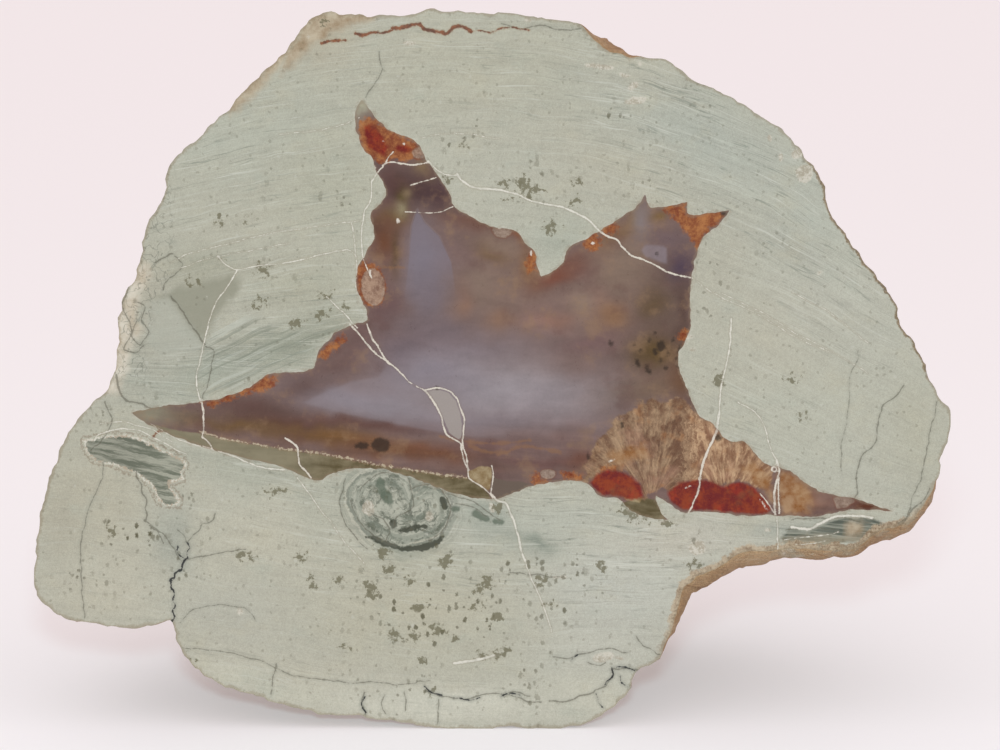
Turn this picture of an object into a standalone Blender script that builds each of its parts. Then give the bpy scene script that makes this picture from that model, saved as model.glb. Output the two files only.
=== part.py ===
"""A polished half lithophysa.

A lobed nodule of banded rhyolite is sawn through its middle. The sawn face is flat, and a star of
chalcedony fills the hollow in it. The face leans back a little, and the stone stands on a small
flat spot that runs back from the face's lower edge.

The shapes are worked out in the face's own frame, in millimetres: x to the right, h up the face
and d straight back into the stone. The whole is then leaned back and moved so that the origin is
at the middle of the bottom of its box.
"""

import math

import bmesh
import bpy
import numpy as np

MM = 0.001

LEAN = math.radians(12.0)  # how far the sawn face leans back from upright
THICKNESS = 54.0  # from the sawn face to the highest point of the back
BACK_FULLNESS = 2.8  # superellipse power of the back: 2 is round, more is boxier
BACK_CENTRE_DROP = 14.0  # how much lower the back's highest point is than the face's middle
DROP_POWER = 3  # the drop grows with this power of the depth
FACE_MIDDLE = np.array((1.5, 52.5))
WIDE_SPREAD = math.radians(12.0)  # how far along the outline the back draws its outer corners in
NARROW_SPREAD = math.radians(3.5)  # and how far it fills its notches
SMOOTHED_BY = 36.0  # depth at which the outline is wholly smoothed
CROWN = np.array((58.0, 49.0))  # half width and half height of the oval that the back ends in
CROWN_FROM = 34.0
RINGS = 31
FIRST_RING_DEPTH = 1.2
PROFILE_RADIUS = 56.0  # half width at which the rings are spaced evenly along the back's profile
PROFILE_SAMPLES = 2001
BLOCK_SIZE = (0.2, 0.2, 0.04)
FOOT_TRIM = 0.2  # height above the lowest point of the sawn edge at which the flat spot lies
BOX_MIDDLE_X = 0.35  # middle of the stone's box, from the face frame's origin
BOX_MIDDLE_Y = 31.33

LOBE_LOW = np.array((-47.7, 16.4))  # the notch below the lobe
LOBE_HIGH = np.array((-58.6, 51.0))  # the shoulder above it
LOBE_EASE = 9.0
LOBE_THINNER = 0.34  # share of the depth that the lobe lacks
GROOVE_DEPTH = 2.6
GROOVE_WIDTH = 3.4
GROOVE_EASE = 8.0  # depth over which the groove beside the lobe fades in behind the face
WING_START = 34.0
WING_EASE = 30.0
WING_THINNER = 0.12  # share of the depth that the right wing lacks at its end

SKIRT_DEPTH = 7.0  # how far behind the face the skin stands out most
SKIRT_EVEN = 0.25
# How far the weathered skin stands out past the sawn edge, at places (x, reach) along it: under the
# right wing, and on the shoulder at the upper right.
UNDERCUT_TOP = 38.0
UNDERCUT_REACH = (
    (24.5, 0.2), (27, 1.1), (28.6, 2.5), (31, 3.2), (34.5, 2.6), (37.8, 3.2), (43.5, 2.3),
    (51, 2.1), (56.5, 1.8), (62, 2.2), (65.5, 1.8), (67.4, 0.1),
)
SHOULDER_BOTTOM = 96.0
SHOULDER_REACH = ((13.4, 0.2), (15, 1.7), (16.4, 2.5), (18.3, 2.4), (20.2, 1.8), (23.5, 0))

LUMP_HEIGHT = 1.7
# Waves that add up to the lumps: a share, radians per millimetre along x, h and d, and a start.
LUMP_WAVES = (
    (0.25, 0.21, 0.17, 0.15, 0.9), (0.25, 0.23, -0.19, 0.13, 2.4),
    (0.3, 0.36, -0.22, 0.31, 0.0), (0.2, -0.31, 0.29, 0.44, 1.9),
)
LEDGE_HEIGHT = 1.2
LEDGE_PITCH = 8.5
LEDGE_RISE = 0.7  # share of the pitch over which a ledge sinks in; over the rest it comes out again
BAND_TILT = 0.12  # rise of the bands per millimetre to the right
BAND_WAVER = 1.6
BAND_WAVER_RATE = (0.09, 0.05)  # radians per millimetre along x and d
PIT_COUNT = 30
PIT_DEPTH = 1.7
PIT_SIZE = 2.6
PIT_SIZE_SPREAD = 1.9
PIT_FIELD = (58.0, 42.0)  # half width and half height of the oval that holds the pits
PIT_FIELD_DROP = 4.0
PITS_FROM = 20.0  # depth at which the pits begin, and the depth over which they fade in
PITS_EASE = 10.0
GOLDEN_ANGLE = math.pi * (3.0 - math.sqrt(5.0))
CALM_RIM = 10.0  # behind the sawn edge, the skin reaches its full roughness at this depth

POCKET_DEPTH = 22.0
POCKET_FLOOR_SCALE = 0.42
POCKET_CURVE = 1.6  # the pocket draws in with this power of the depth
POCKET_STEPS = 4
POCKET_LEAD = 2.0  # how far the pocket's cutter stands out in front of the face
POCKET_MIDDLE = np.array((1.0, 55.0))
SEAM = 0.3  # gap between the agate and its pocket

STONE_COLOUR = (0.42, 0.44, 0.35)
AGATE_COLOUR = (0.16, 0.11, 0.11)
SHARP_FROM = math.radians(35.0)

# The sawn edge, clockwise as seen from the front, from the left lobe.
CUT_EDGE = (
    (-68.4, 21.3), (-68.2, 25.2), (-67.9, 28.8), (-66.8, 34.5), (-65, 40.6), (-63.8, 43.4),
    (-61.6, 46.5), (-59.8, 48.9), (-57.3, 51.2), (-56.6, 52.8), (-55.9, 57.4), (-55.8, 60.2),
    (-55.2, 64.1), (-52.9, 68.6), (-51.8, 74.4), (-48.8, 81), (-48.4, 84), (-45.9, 87),
    (-42.6, 90.1), (-39.6, 92.7), (-36.3, 96.6), (-32, 100.2), (-26.8, 106.5), (-24, 107.6),
    (-20.4, 107.1), (-16.2, 107.2), (-12, 107.4), (-8.5, 108.2), (-6.1, 107.8), (-1.2, 107.6),
    (3.8, 107.4), (8.7, 106.7), (13.4, 105.9), (16.2, 102.9), (20.2, 101.1), (26, 100.5),
    (31.5, 97), (36.9, 94.5), (40.5, 92.3), (43.5, 90.1), (46.6, 86.8), (50.1, 81.8),
    (50.4, 79.5), (53.1, 74.4), (56.7, 69.6), (60.9, 64), (61.2, 61.8), (64.5, 56.4),
    (67.2, 50.4), (68.7, 48.3), (69.1, 45.8), (68.6, 43.2), (67.8, 41.2), (67.2, 38.1),
    (65.7, 34.6), (63.3, 31.6), (61.4, 30.4), (58.5, 29.6), (54.8, 27.4), (51, 27), (47.2, 27),
    (43.5, 27), (37.8, 26.6), (34.5, 24.4), (31, 22.8), (28.8, 21), (28.2, 18), (26.8, 13.8),
    (25.2, 10.6), (21.9, 8.7), (21, 6.1), (19.5, 4.2), (17.7, 2.8), (13.2, 0.6), (8.7, 0.1),
    (4, 0.4), (-1.5, 0.1), (-8.7, 0.4), (-12.3, 1), (-15.8, 1.6), (-20.4, 2.1), (-25.5, 2.6),
    (-30.3, 3.7), (-35.2, 5), (-41.4, 7.2), (-43.6, 8.7), (-46.2, 11.7), (-47.1, 14.1),
    (-47.8, 16.5), (-52.2, 15.4), (-56.2, 15.3), (-60.6, 16.2), (-64.5, 17), (-67.3, 19.4),
)

# The agate's border, clockwise from the tip at its upper left.
AGATE_EDGE = (
    (-19.2, 94.6), (-17.8, 92.6), (-15.3, 90.1), (-11.2, 88.4), (-9.2, 85), (-6.3, 81),
    (-5.2, 78.4), (-3.6, 77.4), (0.8, 75.4), (3.8, 74.8), (5.6, 72.8), (6.8, 71.5), (7.1, 69.8),
    (7.6, 68), (9.3, 68.8), (11, 70.2), (11.6, 72.2), (14.2, 73.6), (18.9, 76.4), (21.6, 78.2),
    (23.3, 80.4), (24, 78.4), (26.4, 78.5), (29.6, 79.2), (29.6, 77.4), (31.5, 77.3), (36, 78),
    (34, 75.6), (32, 74.1), (31, 71.4), (30.3, 68.4), (30, 64.4), (30, 60), (28.2, 55.8),
    (28.5, 53.9), (29.6, 50.9), (31, 47.7), (33.3, 45.9), (35.8, 43.4), (38.2, 43.2),
    (40.9, 40.2), (44.6, 39), (49.5, 35.8), (54, 34.9), (60.4, 32.8), (53.6, 33), (49, 32),
    (43.2, 32.2), (38.7, 32.1), (32, 32.8), (28.6, 32.8), (26.6, 34.1), (24.8, 35.2),
    (25.3, 33.2), (26.7, 31.5), (23.9, 31.9), (21, 32.9), (19.2, 34.7), (16.4, 35.2),
    (13.9, 37.3), (9.6, 37.2), (6, 36.6), (1.2, 34.7), (-3.3, 35), (-9.3, 37), (-14.7, 38.8),
    (-18, 39.3), (-23.6, 38.6), (-25.8, 37.4), (-30.3, 39.2), (-38.2, 41.1), (-45.8, 43.5),
    (-51.8, 46.2), (-53.8, 47.6), (-51, 48.3), (-45.6, 48.9), (-39.3, 50.1), (-36.4, 51.3),
    (-33.3, 53.2), (-28.5, 53.8), (-26.4, 54.3), (-26, 56.2), (-23.6, 59.2), (-21.2, 60.6),
    (-18.4, 61.5), (-18.6, 63.3), (-20, 66.1), (-19.9, 68.8), (-18.4, 72), (-17.3, 74),
    (-17.9, 77.6), (-16.3, 79), (-15.6, 80.8), (-16.9, 83.6), (-17.6, 85.7), (-19, 87.2),
    (-20.3, 91.6), (-20, 93.4),
)


def ease(value, start, width):
    """A smooth step from 0 at start to 1 at start + width."""
    share = np.clip((value - start) / width, 0.0, 1.0)
    return share * share * (3.0 - 2.0 * share)


def side_of_lobe(points):
    """Signed distance to the line between the lobe's notch and its shoulder: positive in the lobe."""
    along = (LOBE_HIGH - LOBE_LOW) / np.hypot(*(LOBE_HIGH - LOBE_LOW))
    offset = points - LOBE_LOW
    return offset[..., 1] * along[0] - offset[..., 0] * along[1]


def edge_normals(edge):
    """Unit vectors out of a clockwise closed outline, each the mean of its two sides' normals."""
    ahead = np.roll(edge, -1, axis=0) - edge
    ahead /= np.hypot(*ahead.T)[:, None]
    normal = ahead + np.roll(ahead, 1, axis=0)
    normal = np.stack([-normal[:, 1], normal[:, 0]], axis=1)
    return normal / np.hypot(*normal.T)[:, None]


def skirt_reach(edge):
    """How far the skin behind each point of the sawn edge stands out past it."""
    x, h = edge.T
    undercut = np.interp(x, *zip(*UNDERCUT_REACH), left=0.0, right=0.0) * (h < UNDERCUT_TOP)
    shoulder = np.interp(x, *zip(*SHOULDER_REACH), left=0.0, right=0.0) * (h > SHOULDER_BOTTOM)
    return SKIRT_EVEN + undercut + shoulder


def mean_radius(angle, radius, spread):
    """Each edge point's distance from the face's middle, averaged with its neighbours' distances."""
    full = 2 * math.pi
    apart = (angle[:, None] - angle[None, :] + math.pi) % full - math.pi
    spacing = np.abs((np.roll(angle, -1) - np.roll(angle, 1) + math.pi) % full - math.pi)
    weight = np.exp(-((apart / spread) ** 2)) * spacing
    return (weight * radius).sum(axis=1) / weight.sum(axis=1)


def smoothed_outline(edge):
    """The sawn edge with its outer corners drawn well in and its notches filled a little."""
    spokes = edge - FACE_MIDDLE
    radius = np.hypot(*spokes.T)
    angle = np.arctan2(spokes[:, 1], spokes[:, 0])
    calmed = np.minimum(
        mean_radius(angle, radius, WIDE_SPREAD), mean_radius(angle, radius, NARROW_SPREAD)
    )
    return FACE_MIDDLE + spokes * (calmed / radius)[:, None]


def crown_outline(edge):
    """The oval that the back ends in, at each edge point's direction from the face's middle."""
    spokes = edge - FACE_MIDDLE
    return FACE_MIDDLE + spokes / np.hypot(*(spokes / CROWN).T)[:, None]


def roughness(x, h, d):
    """How far the weathered skin lies below the smooth form: lumps, ledges along the bands, pits."""
    lumps = sum(
        share * np.sin(along_x * x + along_h * h + along_d * d + start)
        for share, along_x, along_h, along_d, start in LUMP_WAVES
    )
    waver = BAND_WAVER * np.sin(BAND_WAVER_RATE[0] * x + BAND_WAVER_RATE[1] * d)
    band = (h + BAND_TILT * x + waver) / LEDGE_PITCH % 1.0
    ledges = ease(band, 0.0, LEDGE_RISE) - ease(band, LEDGE_RISE, 1.0 - LEDGE_RISE)
    return LUMP_HEIGHT * (1.0 + lumps) + LEDGE_HEIGHT * ledges


def pits(x, h, d):
    """Round hollows of several sizes, spread over the back by the golden angle."""
    depth = np.zeros_like(x)
    for index in range(PIT_COUNT):
        reach = math.sqrt((index + 0.5) / PIT_COUNT)
        turn = index * GOLDEN_ANGLE
        centre_x = FACE_MIDDLE[0] + PIT_FIELD[0] * reach * math.cos(turn)
        centre_h = FACE_MIDDLE[1] - PIT_FIELD_DROP + PIT_FIELD[1] * reach * math.sin(turn)
        size = PIT_SIZE + PIT_SIZE_SPREAD * (index * 0.618 % 1.0)
        strength = 0.5 + 0.5 * (index * 0.382 % 1.0)
        away = np.hypot(x - centre_x, h - centre_h) / size
        depth += PIT_DEPTH * strength * np.exp(-(away**2))
    return depth * ease(d, PITS_FROM, PITS_EASE)


def back_profile():
    """Depth and scale of each ring: a superellipse's quarter, at even steps along it."""
    turn = np.linspace(0.0, math.pi / 2, PROFILE_SAMPLES)
    depth = THICKNESS * np.sin(turn) ** (2 / BACK_FULLNESS)
    scale = np.cos(turn) ** (2 / BACK_FULLNESS)
    steps = np.hypot(np.diff(depth), PROFILE_RADIUS * np.diff(scale))
    run = np.concatenate([[0.0], np.cumsum(steps)])
    stops = np.linspace(FIRST_RING_DEPTH, run[-1], RINGS + 1)[:-1]
    stops = np.concatenate([[0.0], stops])
    return np.interp(stops, run, depth)[:, None], np.interp(stops, run, scale)[:, None]


def stone_rings(edge):
    """Rings of points from the sawn edge to the top of the back, as an array of (x, h, d)."""
    depth, scale = back_profile()
    drop = (depth[..., None] / THICKNESS) ** DROP_POWER
    middle = FACE_MIDDLE - np.array((0.0, BACK_CENTRE_DROP)) * drop
    soften = ease(depth, 0.0, SMOOTHED_BY)[..., None]
    crown = ease(depth, CROWN_FROM, THICKNESS - CROWN_FROM)[..., None]
    outline = (1 - soften) * edge + soften * smoothed_outline(edge)
    outline = (1 - crown) * outline + crown * crown_outline(edge)
    points = middle + scale[..., None] * (outline - FACE_MIDDLE)

    outward = edge - FACE_MIDDLE
    outward = outward / np.hypot(*outward.T)[:, None]
    swell = (depth / SKIRT_DEPTH) * np.exp(1 - depth / SKIRT_DEPTH)
    points = points + edge_normals(edge) * (swell * skirt_reach(edge))[..., None]

    lobe = ease(side_of_lobe(points), 0.0, LOBE_EASE)
    wing = ease(points[..., 0], WING_START, WING_EASE)
    groove = np.exp(-((side_of_lobe(points) / GROOVE_WIDTH) ** 2)) * ease(depth, 0.0, GROOVE_EASE)
    back = depth * (1 - LOBE_THINNER * lobe) * (1 - WING_THINNER * wing)

    calm = ease(depth, 0.0, CALM_RIM)
    x, h = points[..., 0], points[..., 1]
    sunk = calm * (roughness(x, h, back) + pits(x, h, back)) + GROOVE_DEPTH * groove
    facing_back = np.clip(back / THICKNESS, 0.0, 1.0) ** 2
    points = points - outward * (sunk * (1 - facing_back) * scale)[..., None]
    back = back - sunk * facing_back
    return np.concatenate([points, back[..., None]], axis=-1)


def new_object(name, mesh, collection):
    made = bpy.data.objects.new(name, mesh)
    collection.objects.link(made)
    return made


def standing(points):
    """Places (x, h, d) in metres with the face leaned back and the origin under the stone's middle."""
    x, h, d = np.moveaxis(points, -1, 0)
    y = h * math.sin(LEAN) + d * math.cos(LEAN)
    z = h * math.cos(LEAN) - d * math.sin(LEAN)
    return np.stack([x - BOX_MIDDLE_X, y - BOX_MIDDLE_Y, z - FOOT_TRIM], axis=-1) * MM


def loft_mesh(name, rings, closed_by_point):
    """A closed mesh through rings of (x, h, d): a flat front, sides, and a flat or pointed end."""
    made = bmesh.new()
    placed = standing(rings)
    grid = [[made.verts.new(point) for point in ring] for ring in placed]
    count = len(grid[0])
    for near, far in zip(grid, grid[1:]):
        for i in range(count):
            j = (i + 1) % count
            made.faces.new((near[i], near[j], far[j], far[i]))
    made.faces.new(grid[0][::-1])
    if closed_by_point:
        tip = made.verts.new(placed[-1].mean(axis=0))
        for i in range(count):
            made.faces.new((grid[-1][i], grid[-1][(i + 1) % count], tip))
    else:
        made.faces.new(grid[-1])
    bmesh.ops.recalc_face_normals(made, faces=made.faces)
    mesh = bpy.data.meshes.new(name)
    made.to_mesh(mesh)
    made.free()
    return mesh


def grown(edge, by):
    """A clockwise closed outline moved outwards by a distance at each of its corners."""
    return edge + edge_normals(edge) * by


def pocket_rings(edge, depth, front):
    """The agate's form: its border on the face, drawn in towards the back."""
    share = np.linspace(0.0, 1.0, POCKET_STEPS + 1)
    rings = []
    for part in share:
        scale = 1.0 - (1.0 - POCKET_FLOOR_SCALE) * part**POCKET_CURVE
        ring = POCKET_MIDDLE + scale * (edge - POCKET_MIDDLE)
        rings.append(np.column_stack([ring, np.full(len(ring), depth * part)]))
    if front:
        lead = rings[0].copy()
        lead[:, 2] = -front
        rings.insert(0, lead)
    return np.array(rings)


def material(name, colour, rough):
    made = bpy.data.materials.new(name)
    made.use_nodes = True
    shader = made.node_tree.nodes["Principled BSDF"]
    shader.inputs["Base Color"].default_value = (*colour, 1.0)
    shader.inputs["Roughness"].default_value = rough
    shader.inputs["Metallic"].default_value = 0.0
    made.diffuse_color = (*colour, 1.0)
    return made


def clear_scene():
    for old in list(bpy.data.objects):
        bpy.data.objects.remove(old, do_unlink=True)


def new_collection(name):
    made = bpy.data.collections.new(name)
    bpy.context.scene.collection.children.link(made)
    return made


def ground_block(collection):
    """A block whose top is the plane that the flat spot lies in."""
    made = bmesh.new()
    bmesh.ops.create_cube(made, size=1.0)
    bmesh.ops.scale(made, vec=BLOCK_SIZE, verts=made.verts)
    bmesh.ops.translate(made, vec=(0.0, 0.0, -BLOCK_SIZE[2] / 2), verts=made.verts)
    mesh = bpy.data.meshes.new("ground_block")
    made.to_mesh(mesh)
    made.free()
    return new_object("ground_block", mesh, collection)


def cut_with(target, cutter):
    cutter.hide_render = True
    cutter.display_type = "WIRE"
    modifier = target.modifiers.new("cut_" + cutter.name, "BOOLEAN")
    modifier.operation = "DIFFERENCE"
    modifier.solver = "EXACT"
    modifier.object = cutter


def main():
    clear_scene()
    parts = new_collection("lithophysa")
    cutters = new_collection("cutters")

    stone = new_object(
        "host_rock", loft_mesh("host_rock", stone_rings(np.array(CUT_EDGE)), True), parts
    )
    agate_edge = np.array(AGATE_EDGE)
    agate = new_object(
        "agate_core", loft_mesh("agate_core", pocket_rings(agate_edge, POCKET_DEPTH, 0.0), False), parts
    )
    pocket = new_object(
        "pocket",
        loft_mesh(
            "pocket", pocket_rings(grown(agate_edge, SEAM), POCKET_DEPTH + SEAM, POCKET_LEAD), False
        ),
        cutters,
    )
    cut_with(stone, ground_block(cutters))
    cut_with(stone, pocket)
    stone.data.materials.append(material("banded_rhyolite", STONE_COLOUR, 0.55))
    agate.data.materials.append(material("smoky_chalcedony", AGATE_COLOUR, 0.2))
    for made in (stone, agate):
        made.data.shade_smooth()
        made.data.set_sharp_from_angle(angle=SHARP_FROM)


main()
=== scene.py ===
"""A polished half lithophysa: banded rhyolite around a star of chalcedony.

The stone and the agate are two closed surfaces with one flat front between them. Shapes are worked
out in the face's own frame, in millimetres: x to the right, h up the face and d straight back into
the stone. Places on the face are given as the photograph shows them, in its 1000 x 750 pixels, and
PIXEL and on_face turn them into millimetres. What follows the rock, such as its veins, its flow
bands and the agate's patches, is measured in millimetres at every point of the flat front and kept
as an attribute; the materials turn those distances into edges, grain and colour.
"""

import math

import bmesh
import bpy
import numpy as np
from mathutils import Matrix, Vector, geometry


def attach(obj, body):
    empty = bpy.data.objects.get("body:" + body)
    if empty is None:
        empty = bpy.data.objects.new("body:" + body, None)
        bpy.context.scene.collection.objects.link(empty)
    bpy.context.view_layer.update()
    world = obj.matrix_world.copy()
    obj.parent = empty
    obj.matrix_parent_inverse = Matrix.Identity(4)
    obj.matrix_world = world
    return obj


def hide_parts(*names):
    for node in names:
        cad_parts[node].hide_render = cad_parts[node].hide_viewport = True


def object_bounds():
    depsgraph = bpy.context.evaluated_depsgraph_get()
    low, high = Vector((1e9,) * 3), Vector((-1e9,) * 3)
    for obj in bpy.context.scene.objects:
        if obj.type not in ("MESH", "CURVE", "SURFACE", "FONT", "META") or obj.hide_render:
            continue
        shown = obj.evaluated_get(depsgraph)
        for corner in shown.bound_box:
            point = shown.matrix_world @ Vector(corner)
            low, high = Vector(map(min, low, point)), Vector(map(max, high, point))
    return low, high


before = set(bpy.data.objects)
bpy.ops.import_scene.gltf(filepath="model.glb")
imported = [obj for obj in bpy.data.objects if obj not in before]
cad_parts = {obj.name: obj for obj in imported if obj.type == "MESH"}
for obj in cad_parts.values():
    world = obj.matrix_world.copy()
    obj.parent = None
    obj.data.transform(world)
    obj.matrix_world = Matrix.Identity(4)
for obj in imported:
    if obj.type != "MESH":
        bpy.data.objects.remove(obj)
cad_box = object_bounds()

MM = 0.001
PIXEL = 0.15  # millimetres on the face to one pixel of the photograph
PHOTO_WIDTH = 1000.0
PHOTO_ZERO = np.array((490.0, 730.0))  # the pixel at x = 0, h = 0

LEAN = math.radians(12.0)
BOX_MIDDLE_X = 0.35
BOX_MIDDLE_Y = 31.33
FOOT_TRIM = 0.2
IN_PLANE = 0.01  # corners this close to the face's plane are on it

# The back of the stone, as in its solid.
THICKNESS = 54.0
BACK_FULLNESS = 2.8
BACK_CENTRE_DROP = 14.0
DROP_POWER = 3
FACE_MIDDLE = np.array((1.5, 52.5))
WIDE_SPREAD = math.radians(12.0)
NARROW_SPREAD = math.radians(3.5)
SMOOTHED_BY = 36.0
CROWN = np.array((58.0, 49.0))
CROWN_FROM = 34.0
PROFILE_RADIUS = 56.0
PROFILE_SAMPLES = 2001
SKIN_ROWS = 84
FIRST_ROW_DEPTH = 0.35
LOBE_LOW = np.array((-47.7, 16.4))
LOBE_HIGH = np.array((-58.6, 51.0))
LOBE_EASE = 9.0
LOBE_THINNER = 0.34
GROOVE_DEPTH = 2.6
GROOVE_WIDTH = 3.4
GROOVE_EASE = 8.0
WING_START = 34.0
WING_EASE = 30.0
WING_THINNER = 0.12
SKIRT_DEPTH = 7.0
SKIRT_EVEN = 0.25
UNDERCUT_TOP = 38.0
UNDERCUT_REACH = (
    (24.5, 0.2), (27, 1.1), (28.6, 2.5), (31, 3.2), (34.5, 2.6), (37.8, 3.2), (43.5, 2.3),
    (51, 2.1), (56.5, 1.8), (62, 2.2), (65.5, 1.8), (67.4, 0.1),
)
SHOULDER_BOTTOM = 96.0
SHOULDER_REACH = ((13.4, 0.2), (15, 1.7), (16.4, 2.5), (18.3, 2.4), (20.2, 1.8), (23.5, 0))
LUMP_HEIGHT = 1.7
LUMP_WAVES = (
    (0.25, 0.21, 0.17, 0.15, 0.9), (0.25, 0.23, -0.19, 0.13, 2.4),
    (0.3, 0.36, -0.22, 0.31, 0.0), (0.2, -0.31, 0.29, 0.44, 1.9),
)
LEDGE_HEIGHT = 1.2
LEDGE_PITCH = 8.5
LEDGE_RISE = 0.7
BAND_TILT = 0.12
BAND_WAVER = 1.6
BAND_WAVER_RATE = (0.09, 0.05)
PIT_COUNT = 30
PIT_DEPTH = 1.7
PIT_SIZE = 2.6
PIT_SIZE_SPREAD = 1.9
PIT_FIELD = (58.0, 42.0)
PIT_FIELD_DROP = 4.0
PITS_FROM = 20.0
PITS_EASE = 10.0
PIT_SIZE_STEP = 0.618  # from pit to pit, size and strength go round in steps of these shares
PIT_STRENGTH_STEP = 0.382
GOLDEN_ANGLE = math.pi * (3.0 - math.sqrt(5.0))
CALM_RIM = 10.0

# Finer relief that only the finished skin has: the size of its grains and how deep they go.
CRUST_GRAINS = ((5.2, 0.9), (2.4, 0.55), (1.15, 0.3))
CRUST_RIM = 2.2  # behind the sawn edge, the fine relief fades in over this depth
CRUST_FRONT = 0.35  # its share just behind the edge; it grows to the full relief further back
THIN_LEDGE_PITCH = 2.1
THIN_LEDGE_DEPTH = 0.35
THIN_LEDGE_RISE = 0.6
CRUST_GROWS = (4.0, 10.0)  # the depth from which it grows, and over how much
CRUST_WAVER = (1.3, 9.0, 40)  # noises are given as height, size and seed

OUTLINE_SPACING = 0.6
AGATE_SPACING = 0.4
CHIP_SIZE = 1.5  # chips along the sawn edge: their length and how far they go in and out
CHIP_DEPTH = 0.28
AGATE_CHIP_SIZE = 0.9
AGATE_CHIP_DEPTH = 0.16
STROKE_SPACING = 0.3
FLANK = 0.2
VEIN_WOBBLE = 0.07  # how far a drawn line strays from its curve
CRACK_WOBBLE = 0.15
STRETCH_SAMPLES = 12
TURN_ALLOWED = 0.3
FIELD_REACH = 3.0  # distances to lines and patches are kept exactly up to here
AGATE_REACH = 12.0
FINE_AROUND = (-0.5, 0.9)  # the lattice is fine this far outside and inside the border of a patch
CLOUD_DRIFT = ((5.0, 4.5, 50), (2.5, 1.7, 60))
BAND_DRIFT = ((0.5, 7.0, 5), (0.16, 2.6, 6))
LEAST_CROWD = -0.5
LEAST_LAMINATED = 0.3
MOST_LAMINATED = 1.2
HOST_GRID = 0.62
AGATE_GRID = 0.34
COARSE_CLEAR = 0.45  # how far lattice points keep from everything else, as a share of the spacing
FINE_CLEAR = 0.2
SHAKE = 0.6
CLEAR_OF_EDGE = 0.05
NEAR_STROKE = 1.0
SAME_PLACE = 1e-5
TINY = 1e-12

POCKET_DEPTH = 22.0
POCKET_FLOOR_SCALE = 0.42
POCKET_CURVE = 1.6
POCKET_MIDDLE = np.array((1.0, 55.0))
POCKET_ROWS = 9
SEAM = 0.3  # clearance between agate and pocket below the polished face, where it can't be seen
FAR_AWAY = -9.0

CAMERA_DISTANCE = 562.5
CAMERA_LENS = 135.0
SENSOR = 36.0
VIEW_MIDDLE = (500.0, 375.0)

# A plain patch of the face shows as its base colour times this light, plus what it mirrors.
LIGHT_ON_FACE = np.array((1.32, 1.41, 1.43))
MIRRORED = 0.027
DARKEST = 0.003
LOW_GLOSS = 0.3  # specular level; at 0.5 the face would mirror more haze than the photograph shows


def tone(red, green, blue):
    """The base colour of something that shows as these 0 to 255 screen values on the lit face."""
    screen = np.array((red, green, blue)) / 255.0
    linear = np.where(screen <= 0.04045, screen / 12.92, ((screen + 0.055) / 1.055) ** 2.4)
    return (*np.maximum((linear - MIRRORED) / LIGHT_ON_FACE, DARKEST).tolist(), 1.0)


def oval(x, y, half_width, half_height, turn=0.0, corners=20):
    """Pixels around an oval, turned anticlockwise by an angle in degrees."""
    round_it = np.linspace(0.0, 2 * math.pi, corners, endpoint=False)
    across, up = half_width * np.cos(round_it), half_height * np.sin(round_it)
    turn = math.radians(turn)
    right = across * math.cos(turn) - up * math.sin(turn)
    raised = across * math.sin(turn) + up * math.cos(turn)
    return tuple(zip(x + right, y - raised))


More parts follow.
